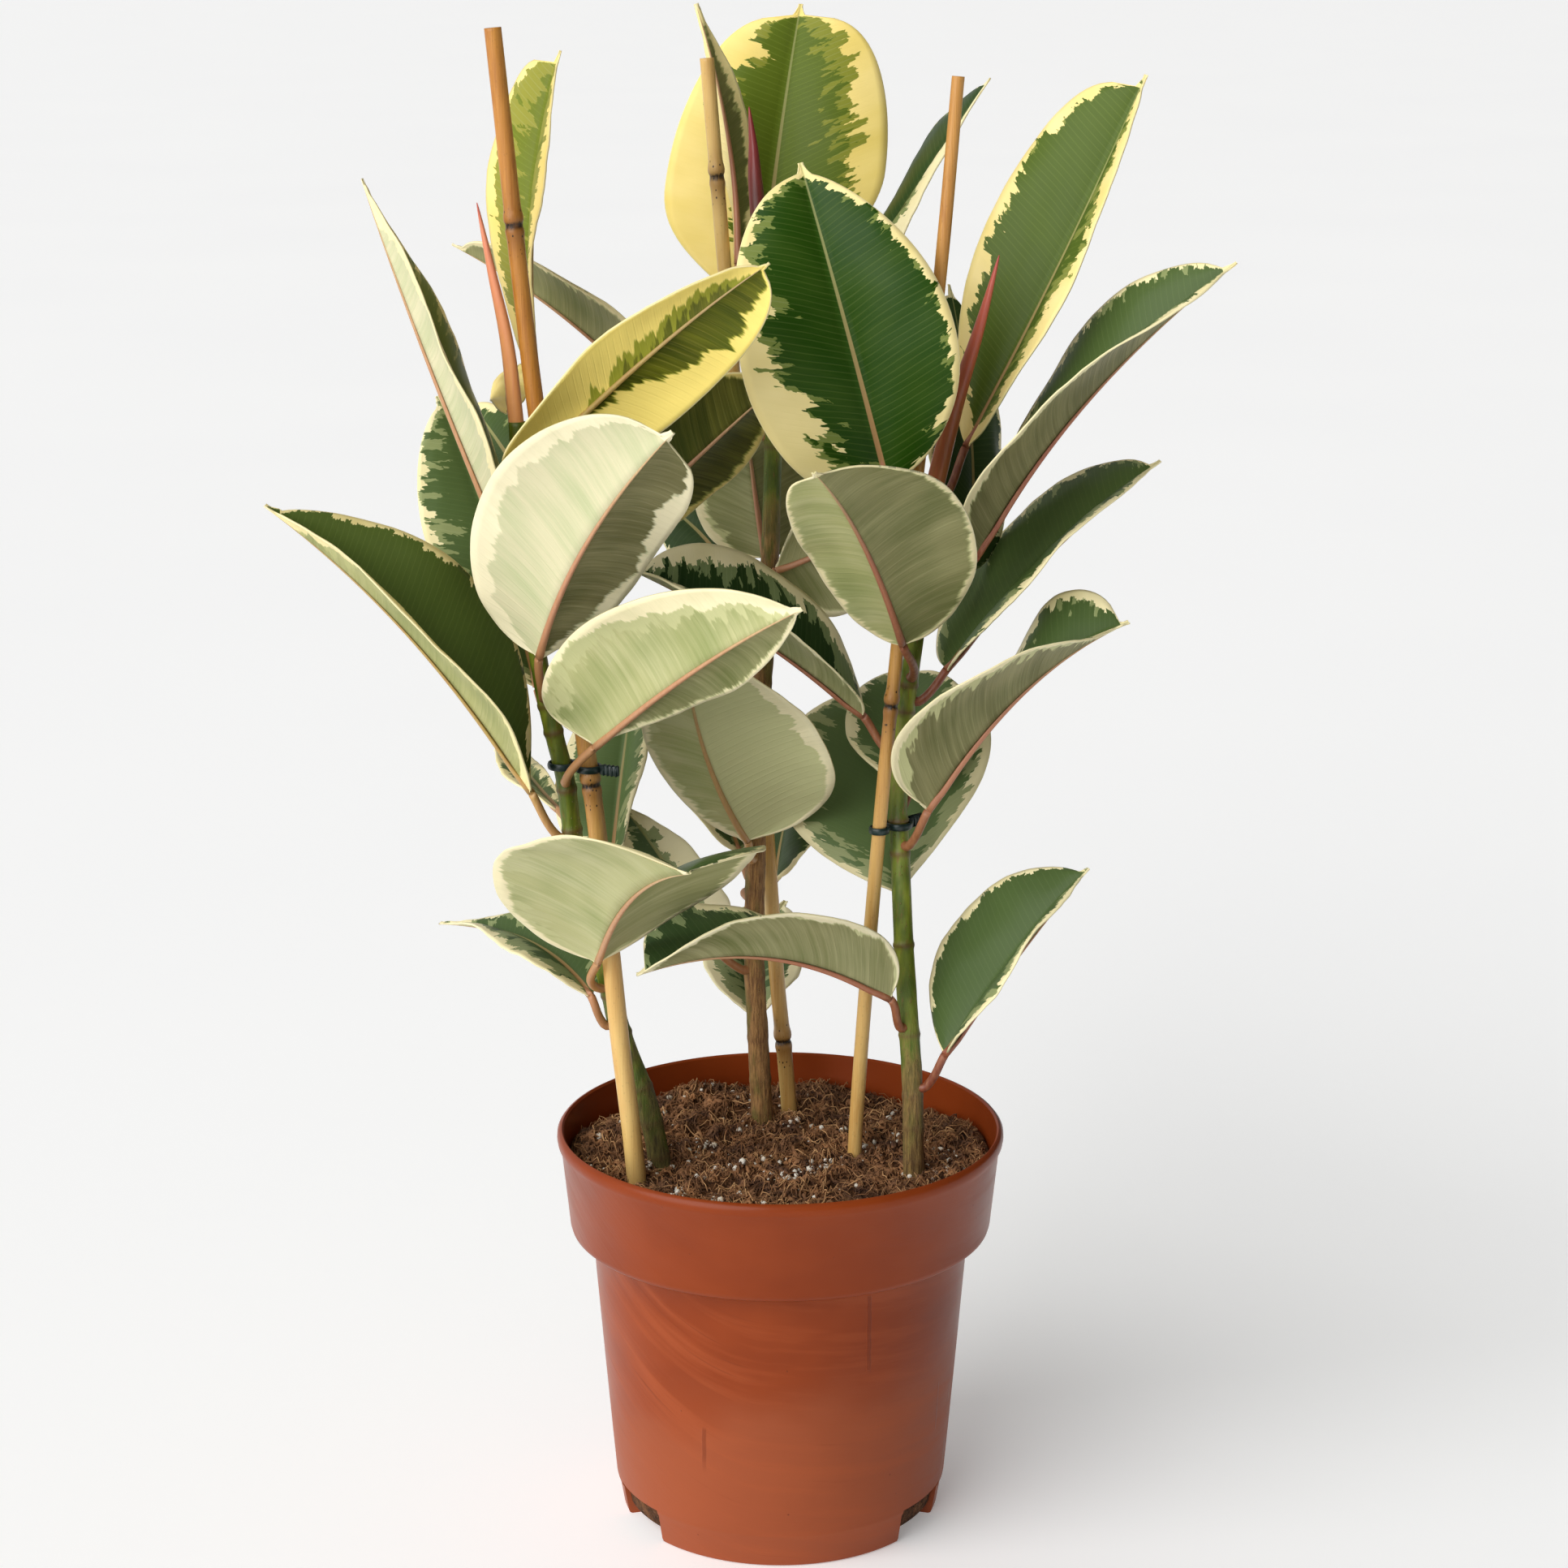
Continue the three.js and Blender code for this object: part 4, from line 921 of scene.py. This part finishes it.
def outline(place, form):
    """Half the blade's width at a place along the midrib, as a share of the widest."""
    widest, foot, head = form
    along = min(place / DRIP_TIP, 1)
    share = along / widest if along < widest else (1 - along) / (1 - widest)
    body = math.sin(share * math.pi / 2) ** (foot if along < widest else head)
    drip = 0.06 * min((1 - place) / (1 - DRIP_TIP), 1) if place > 0.5 else 0
    return max(body, drip, 0.015)


class Blade:
    """The surface of one leaf, and the midrib that carries it."""

    def __init__(self, leaf, seed):
        self.seed = seed
        self.base, self.middle, self.tip = (Vector(leaf[part]) for part in ("base", "middle", "tip"))
        self.left, self.right = Vector(leaf["left"]), Vector(leaf["right"])
        form = leaf.get("form", FORM)
        self.forms = leaf.get("left_form", form), leaf.get("right_form", form)
        self.twist = math.radians(leaf.get("twist", 0))
        self.length = sum((self.at((k + 1) / 20) - self.at(k / 20)).length for k in range(20))
        self.section = functools.cache(self.section)

    def at(self, place):
        return (self.base * ((1 - place) * (1 - 2 * place)) + self.middle * (4 * place * (1 - place))
                + self.tip * (place * (2 * place - 1)))

    def slope(self, place):
        return (self.base * (4 * place - 3) + self.middle * (4 - 8 * place)
                + self.tip * (4 * place - 1)).normalized()

    def section(self, place):
        """The way out to each margin at a place, with the way up on each half and between."""
        along = self.slope(place)
        turn = self.slope(0.5).rotation_difference(along)
        twist = Quaternion(along, self.twist * (place - 0.5))
        left, right = (twist @ (turn @ side) for side in (self.left, self.right))
        up_left = along.cross(left).normalized()
        up_right = right.cross(along).normalized()
        left, right = (side * outline(place, form) for side, form in zip((left, right), self.forms))
        return left, right, up_left, up_right, (up_left + up_right).normalized()

    def surface(self, place, across):
        left, right, up_left, up_right, up_middle = self.section(place)
        side, normal = (left, up_left) if across < 0 else (right, up_right)
        width = outline(place, self.forms[0 if across < 0 else 1])
        share = abs(across)
        reach = side.length
        wave = math.sin(place * 11 + self.seed + across) * MARGIN_WAVE * share ** 2 * width
        spot = Vector((place * 7, across * 1.5, self.seed * 3.1))
        ruffle = noise.noise(spot) * RUFFLE * share * width + noise.noise(spot * 3) * FINE_RUFFLE * share
        crease = -CREASE_DEPTH * math.exp(-(share * reach / CREASE_WIDTH) ** 2)
        lift = 4 * share * (1 - share) * BLADE_BULGE * reach + wave + ruffle + crease
        normal = normal.lerp(up_middle, max(0, 1 - share * 3)).normalized()
        return self.at(place) + side * share + normal * lift


def stepped(values, place):
    """A value at a place from 0 to 1, from values at even steps."""
    spot = place * (len(values) - 1)
    step = min(int(spot), len(values) - 2)
    return values[step] + (values[step + 1] - values[step]) * (spot - step)


def leaf_piece(side, order, finishes):
    leaf, look = LEAVES[side][order], LOOKS[side][order]
    blade = Blade(leaf, order * 2.1)
    mesh = bmesh.new()
    numbers = {name: mesh.verts.layers.float.new(name)
               for name in ("place", "along", "out", "seed", "ruddy")}
    vectors = {name: mesh.verts.layers.float_vector.new(name)
               for name in ("margin_left", "margin_right", "tone_left", "tone_right", "down")}

    def record(vert, place, across):
        held = max(place, 0)
        reaches = [margin.length for margin in blade.section(held)[:2]]
        vert[numbers["place"]] = place
        vert[numbers["along"]] = place * blade.length
        vert[numbers["out"]] = across * reaches[0 if across < 0 else 1]
        vert[numbers["seed"]] = order * 5.3 + len(side) * 1.7
        vert[numbers["ruddy"]] = look["ruddy"]
        for half, name in enumerate(("left", "right")):
            cream = stepped(look["cream"][half], held)
            vert[vectors["margin_" + name]] = (reaches[half], cream, look["patch"][half])
            vert[vectors["tone_" + name]] = (look["pale"][half], look["light"], look["warm"])

    made = bmesh.ops.create_grid(mesh, x_segments=BLADE_COLUMNS, y_segments=BLADE_ROWS, size=1)["verts"]
    for vert in made:
        across = vert.co.x
        place = round((1 - math.cos((vert.co.y + 1) / 2 * math.pi)) / 2, 6)
        vert.co = blade.surface(place, across)
        record(vert, place, across)
    upper = list(mesh.faces)
    mesh.normal_update()
    for vert in made:
        vert[vectors["down"]] = vert.normal * -BLADE_THICKNESS
    for part in bmesh.ops.extrude_face_region(mesh, geom=upper, use_keep_orig=True)["geom"]:
        if isinstance(part, bmesh.types.BMVert):
            part.co += Vector(part[vectors["down"]])
        elif isinstance(part, bmesh.types.BMFace):
            part.material_index = 1
    bmesh.ops.recalc_face_normals(mesh, faces=mesh.faces)
    add_stalk(mesh, blade, leaf, side, lambda vert, place: record(vert, place, 0.0))
    name = f"leaf_{side}_{order + 1:02d}"
    return finished(name + "_blade", mesh, finishes, name)


def add_stalk(mesh, blade, leaf, side, record):
    """The stalk from the stem to the blade, which runs on under the blade as its midrib."""
    stem = STEMS[side]
    axis = axis_of(stem)
    centre = axis(place_at_height(axis, leaf["height"]))
    outward = Vector(leaf.get("bend", leaf["base"])) - centre
    outward.z = 0
    outward.normalize()
    joint = centre + outward * (stem["foot"] + STALK_CLEARANCE)
    reach = (blade.base - joint).length
    leaning = joint.lerp(blade.base, STALK_LEAN) + outward * reach * STALK_SPREAD
    bend = Vector(leaf["bend"]) if "bend" in leaf else leaning
    arrive = blade.base - blade.slope(0) * STALK_REACH * reach
    root = centre + outward * stem["foot"] * 0.4

    def stalk_at(share):
        if share < STALK_ROOT:
            return root.lerp(joint, share / STALK_ROOT)
        share = (share - STALK_ROOT) / (1 - STALK_ROOT)
        rest = 1 - share
        return (joint * rest ** 3 + bend * (3 * rest ** 2 * share) + arrive * (3 * rest * share ** 2)
                + blade.base * share ** 3)

    def on_rib(place):
        return (place - STALK_SHARE) / (1 - STALK_SHARE)

    def corner(place, turn):
        if place < STALK_SHARE:
            share = place / STALK_SHARE
            along = (stalk_at(min(share + 0.03, 1)) - stalk_at(max(share - 0.03, 0))).normalized()
            flare = 1 + STALK_FLARE * math.exp(-share * 9)
            return ring_frame(stalk_at(share), along, blade.right, turn, STALK_RADIUS * flare)
        share = min(on_rib(place), RIB_END)
        up = blade.section(share)[4]
        along = blade.slope(share)
        out = along.cross(up).normalized() * -1
        settle = min(share / RIB_SETTLES, 1)
        wide, above, below = (STALK_RADIUS * (1 - settle) + size * settle for size in (
            RIB_HALF_WIDTH - RIB_NARROWS * share, RIB_ABOVE, RIB_DEPTH - RIB_THINS * share))
        sine = -math.sin(turn)
        height = (above if sine > 0 else below) * sine - RIB_SUNK * settle
        return blade.at(share) + out * (math.cos(turn) * wide) + up * height

    def note(vert, place):
        record(vert, on_rib(place) if place > STALK_SHARE else place - STALK_SHARE)

    rod(mesh, corner, note, finish=2, sides=16, steps=60)


# Pot and soil

def ring_block(middle, inner, outer, half, bottom, top):
    """A block between two radii, two angles and two heights, as a loose piece for cutting."""
    mesh = bmesh.new()
    bmesh.ops.create_cube(mesh, size=2)
    across = [edge for edge in mesh.edges if abs(edge.verts[0].co.x - edge.verts[1].co.x) > 1]
    bmesh.ops.subdivide_edges(mesh, edges=across, cuts=9, use_grid_fill=True)
    for vert in mesh.verts:
        turn = math.radians(middle + half * vert.co.x)
        radius = inner + (outer - inner) * (vert.co.y + 1) / 2
        height = bottom + (top - bottom) * (vert.co.z + 1) / 2
        vert.co = Vector((math.cos(turn) * radius, math.sin(turn) * radius, height))
    bmesh.ops.recalc_face_normals(mesh, faces=mesh.faces)
    return shown("cutter", mesh_data("cutter", mesh))


def combine(piece, other, operation):
    """Joins or cuts piece with another, which is used up."""
    step = piece.modifiers.new("cut", "BOOLEAN")
    step.operation = operation
    step.object = other
    step.solver = "EXACT"
    result = settled(piece)
    piece.modifiers.clear()
    piece.data = result
    bpy.data.objects.remove(other)


def pot_piece(plastic):
    mesh = bmesh.new()
    corners = [mesh.verts.new((radius, 0, height)) for radius, height in POT_PROFILE]
    edges = [mesh.edges.new(pair) for pair in zip(corners, corners[1:])]
    bmesh.ops.spin(mesh, geom=corners + edges, cent=(0, 0, 0), axis=(0, 0, 1), angle=math.tau,
                   steps=POT_SIDES, use_merge=True)
    bmesh.ops.remove_doubles(mesh, verts=mesh.verts, dist=1e-3)
    bmesh.ops.recalc_face_normals(mesh, faces=mesh.faces)
    piece = finished("pot_moulding", mesh, [plastic], "pot")
    for middle in NOTCH_ANGLES:
        for operation, *sizes in NOTCH_CUTS:
            combine(piece, ring_block(middle, *sizes), operation)
    mesh = bmesh.new()
    mesh.from_mesh(piece.data)
    for edge in mesh.edges:
        edge.smooth = edge.calc_face_angle(0) < SHARP_ANGLE
    mesh.to_mesh(piece.data)
    mesh.free()
    return piece


def soil_height(x, y):
    out = math.hypot(x, y) / 114
    lumps = math.sin(x * 0.11 + 1) * math.cos(y * 0.13) + 0.6 * math.sin(x * 0.23 - y * 0.19 + 2)
    height = SOIL_EDGE_HEIGHT + SOIL_MOUND * (1 - out ** 2) + 1.6 * lumps * (1 - out ** 4)
    for at_x, at_y, rise, spread in SOIL_HEAPS:
        height += rise * math.exp(-(math.hypot(x - at_x, y - at_y) / spread) ** 2)
    clods = sum(noise.noise(Vector((x / width, y / width, layer))) * rise
                for width, rise, layer in SOIL_CLODS)
    return height + clods * max(0, min(1, (1.02 - out) * 6))


def soil_piece(skin):
    mesh = bmesh.new()
    wall = [(0.3, SOIL_WALL[0][1]), *((radius - 0.2, height) for radius, height in SOIL_WALL)]
    wall_share = 0.08

    def corner(place, turn):
        if place < wall_share:
            spot = place / wall_share * (len(wall) - 1)
            row = min(int(spot), len(wall) - 2)
            radius, height = (a + (b - a) * (spot - row) for a, b in zip(wall[row], wall[row + 1]))
            return Vector((math.cos(turn) * radius, math.sin(turn) * radius, height))
        radius = SOIL_EDGE_RADIUS * max(1 - (place - wall_share) / (1 - wall_share), 0.002)
        x, y = math.cos(turn) * radius, math.sin(turn) * radius
        return Vector((x, y, soil_height(x, y)))

    rod(mesh, corner, sides=380, steps=150)
    return finished("soil_mound", mesh, [skin], "soil")


def strand(picks, length, rise):
    """Points along one fibre that wanders over the soil."""
    points = [soil_spot(picks)]
    heading = picks.uniform(0, math.tau)
    bias = picks.uniform(-FIBRE_CURL, FIBRE_CURL) * 0.5
    for _ in range(FIBRE_STEPS):
        heading += picks.uniform(-FIBRE_CURL, FIBRE_CURL) + bias
        step = length / FIBRE_STEPS
        spot = points[-1] + Vector((math.cos(heading) * step, math.sin(heading) * step, 0))
        out = math.hypot(spot.x, spot.y)
        if out > LOOSE_EDGE:
            spot.xy = spot.xy * (LOOSE_EDGE / out)
        spot.z = soil_height(spot.x, spot.y) + rise * picks.uniform(0.05, 1)
        points.append(spot)
    return points


def threads(name, lines):
    """The mesh of tapered threads, each a list of points with the radius at its root."""
    curve = bpy.data.curves.new(name, "CURVE")
    curve.dimensions = "3D"
    curve.bevel_depth = 1
    curve.bevel_resolution = 0
    curve.use_fill_caps = True
    for points, radius in lines:
        spline = curve.splines.new("POLY")
        spline.points.add(len(points) - 1)
        for order, (point, spot) in enumerate(zip(spline.points, points)):
            point.co = (*(spot * MM), 1)
            point.radius = radius * MM * (1.1 - 0.7 * order / len(points))
    holder = shown(name, curve)
    data = settled(holder)
    data.materials.clear()
    bpy.data.objects.remove(holder)
    return data


def soil_spot(picks, edge=110):
    turn = picks.uniform(0, math.tau)
    out = edge * math.sqrt(picks.random())
    x, y = math.cos(turn) * out, math.sin(turn) * out
    return Vector((x, y, soil_height(x, y)))


def fibres_piece(name, finish):
    kind = FIBRES[name]
    picks = random.Random(kind["seed"])
    lines = []
    for _ in range(kind["count"]):
        points = strand(picks, picks.uniform(*kind["length"]), kind["rise"])
        lines.append((points, picks.uniform(*kind["radius"])))
    return placed(name, threads(name, lines), [finish])


def perlite_piece(finish):
    picks = random.Random(5)
    mesh = bmesh.new()
    clusters = [soil_spot(picks, 92) for _ in range(PERLITE_CLUSTERS)]
    for order in range(PERLITE_GRAINS):
        spot = soil_spot(picks, 108)
        if order % 5 < 3:
            heap = clusters[order % len(clusters)]
            x, y = (middle + picks.gauss(0, size) for middle, size in zip(heap, PERLITE_CLUSTER_SIZE))
            spot = Vector((x, y, soil_height(x, y)))
        size = PERLITE_LEAST + PERLITE_SPREAD * picks.random() ** 2
        made = bmesh.ops.create_icosphere(mesh, subdivisions=1, radius=size)["verts"]
        for vert in made:
            vert.co *= 1 + 0.5 * noise.noise(vert.co * 0.9 + spot)
            vert.co += spot + Vector((0, 0, size * 0.5))
    return finished("perlite_grains", mesh, [finish])


# Clips

def tie_piece(side, plastic):
    height = TIE_HEIGHTS[side]
    stem, cane = axis_of(STEMS[side]), axis_of(CANES[side], CANE_BURIED)
    start = stem(place_at_height(stem, height))
    end = cane(place_at_height(cane, height))
    span = (end - start).length
    mesh = bmesh.new()
    holds = ((0, STEMS[side]["foot"] - 0.4), (span, CANES[side]["foot"] - 0.5))
    for middle, radius in holds:
        section = bmesh.ops.create_circle(mesh, segments=12, radius=1)["verts"]
        for vert in section:
            out = middle + radius + TIE_OUT + vert.co.x * TIE_BAND[0]
            vert.co = Vector((out, 0, vert.co.y * TIE_BAND[1]))
        edges = list({edge for vert in section for edge in vert.link_edges})
        bmesh.ops.spin(mesh, geom=section + edges, cent=(middle, 0, 0), axis=(0, 0, 1), angle=math.tau,
                       steps=40, use_merge=True)
    past = span + holds[1][1] + 2
    toward = 1 if end.x > start.x else -1
    tail_at = past if toward > 0 else -holds[0][1] - 2

    def block(offset, sizes):
        made = bmesh.ops.create_cube(mesh, size=1)["verts"]
        for vert in made:
            length, thick, tall = (part * size for part, size in zip(vert.co, sizes))
            vert.co = Vector((tail_at + toward * offset + length, thick, tall))
        return list({edge for vert in made for edge in vert.link_edges})

    tail = block(5, (toward * TIE_TAIL[0], *TIE_TAIL[1:]))
    bmesh.ops.bevel(mesh, geom=tail, offset=0.5, affect="EDGES", segments=2, profile=0.5, material=-1)
    for step in range(TIE_RIDGES):
        block(2 + step * TIE_RIDGE_STEP, TIE_RIDGE)
    heading = math.atan2(end.y - start.y, end.x - start.x)
    bmesh.ops.rotate(mesh, matrix=Matrix.Rotation(heading, 3, "Z"), verts=mesh.verts)
    bmesh.ops.translate(mesh, vec=start, verts=mesh.verts)
    bmesh.ops.recalc_face_normals(mesh, faces=mesh.faces)
    return finished(f"tie_{side}_clip", mesh, [plastic], f"tie_{side}")


# Putting the plant together

leaf_finishes = [leaf_upper(), leaf_lower(), stalk_skin()]
bark, cane_skin, cane_pith = stem_bark(), bamboo(), bamboo_pith()
sheath_finishes = {
    "left": sheath_skin("orange sheath", (238, 170, 102), (226, 142, 108), (184, 78, 66)),
    "middle": sheath_skin("dark sheath", (90, 40, 34), (132, 48, 48), (160, 56, 56)),
    "right": sheath_skin("red sheath", (178, 108, 66), (190, 92, 74), (176, 64, 62)),
}
for side in ("left", "middle", "right"):
    stem_piece(side, bark)
    cane_piece(side, cane_skin, cane_pith)
    sheath_piece(side, sheath_finishes[side])
    for order in range(len(LEAVES[side])):
        leaf_piece(side, order, leaf_finishes)
clip = clip_plastic()
tie_piece("left", clip)
tie_piece("right", clip)
pot_piece(terracotta_plastic())
soil_piece(coir_soil())
brown = coir_fibre("coir fibres", (78, 49, 31), (168, 118, 76))
tan = coir_fibre("dry roots", (138, 92, 56), (208, 162, 112))
fibres_piece("coir_threads", brown)
fibres_piece("coir_crumbs", brown)
fibres_piece("dry_roots", tan)
perlite_piece(perlite())


# Studio

def floor():
    mesh = bmesh.new()
    bmesh.ops.create_grid(mesh, x_segments=2, y_segments=2, size=FLOOR_REACH / MM)
    data = mesh_data("floor", mesh)
    data.materials.append(studio_floor())
    shown("floor", data)


def sky():
    world = bpy.data.worlds.new("studio")
    world.use_nodes = True
    tree = world.node_tree
    toward = tree.nodes.new("ShaderNodeTexCoord")
    parts = tree.nodes.new("ShaderNodeSeparateXYZ")
    fade = tree.nodes.new("ShaderNodeMapRange")
    for place, number in enumerate((-0.5, 0.5, SKY_LEFT, SKY_RIGHT), 1):
        fade.inputs[place].default_value = number
    tree.links.new(toward.outputs["Generated"], parts.inputs["Vector"])
    tree.links.new(parts.outputs["X"], fade.inputs["Value"])
    tree.links.new(fade.outputs["Result"], tree.nodes["Background"].inputs["Color"])
    bpy.context.scene.world = world


def sun():
    data = bpy.data.lights.new("sun", "SUN")
    data.energy = SUN_STRENGTH
    data.angle = SUN_SPREAD
    shown("sun", data).rotation_euler = (-SUN_FROM).to_track_quat("-Z", "Y").to_euler()


def camera():
    data = bpy.data.cameras.new("camera")
    data.sensor_width = 36
    data.lens = CAMERA_LENS
    viewer = shown("camera", data)
    viewer.location = CAMERA_PLACE
    viewer.rotation_euler = (math.pi / 2 - CAMERA_TILT, 0, 0)
    bpy.context.scene.camera = viewer
    bpy.context.scene.view_settings.view_transform = "Standard"


floor()
sky()
sun()
camera()
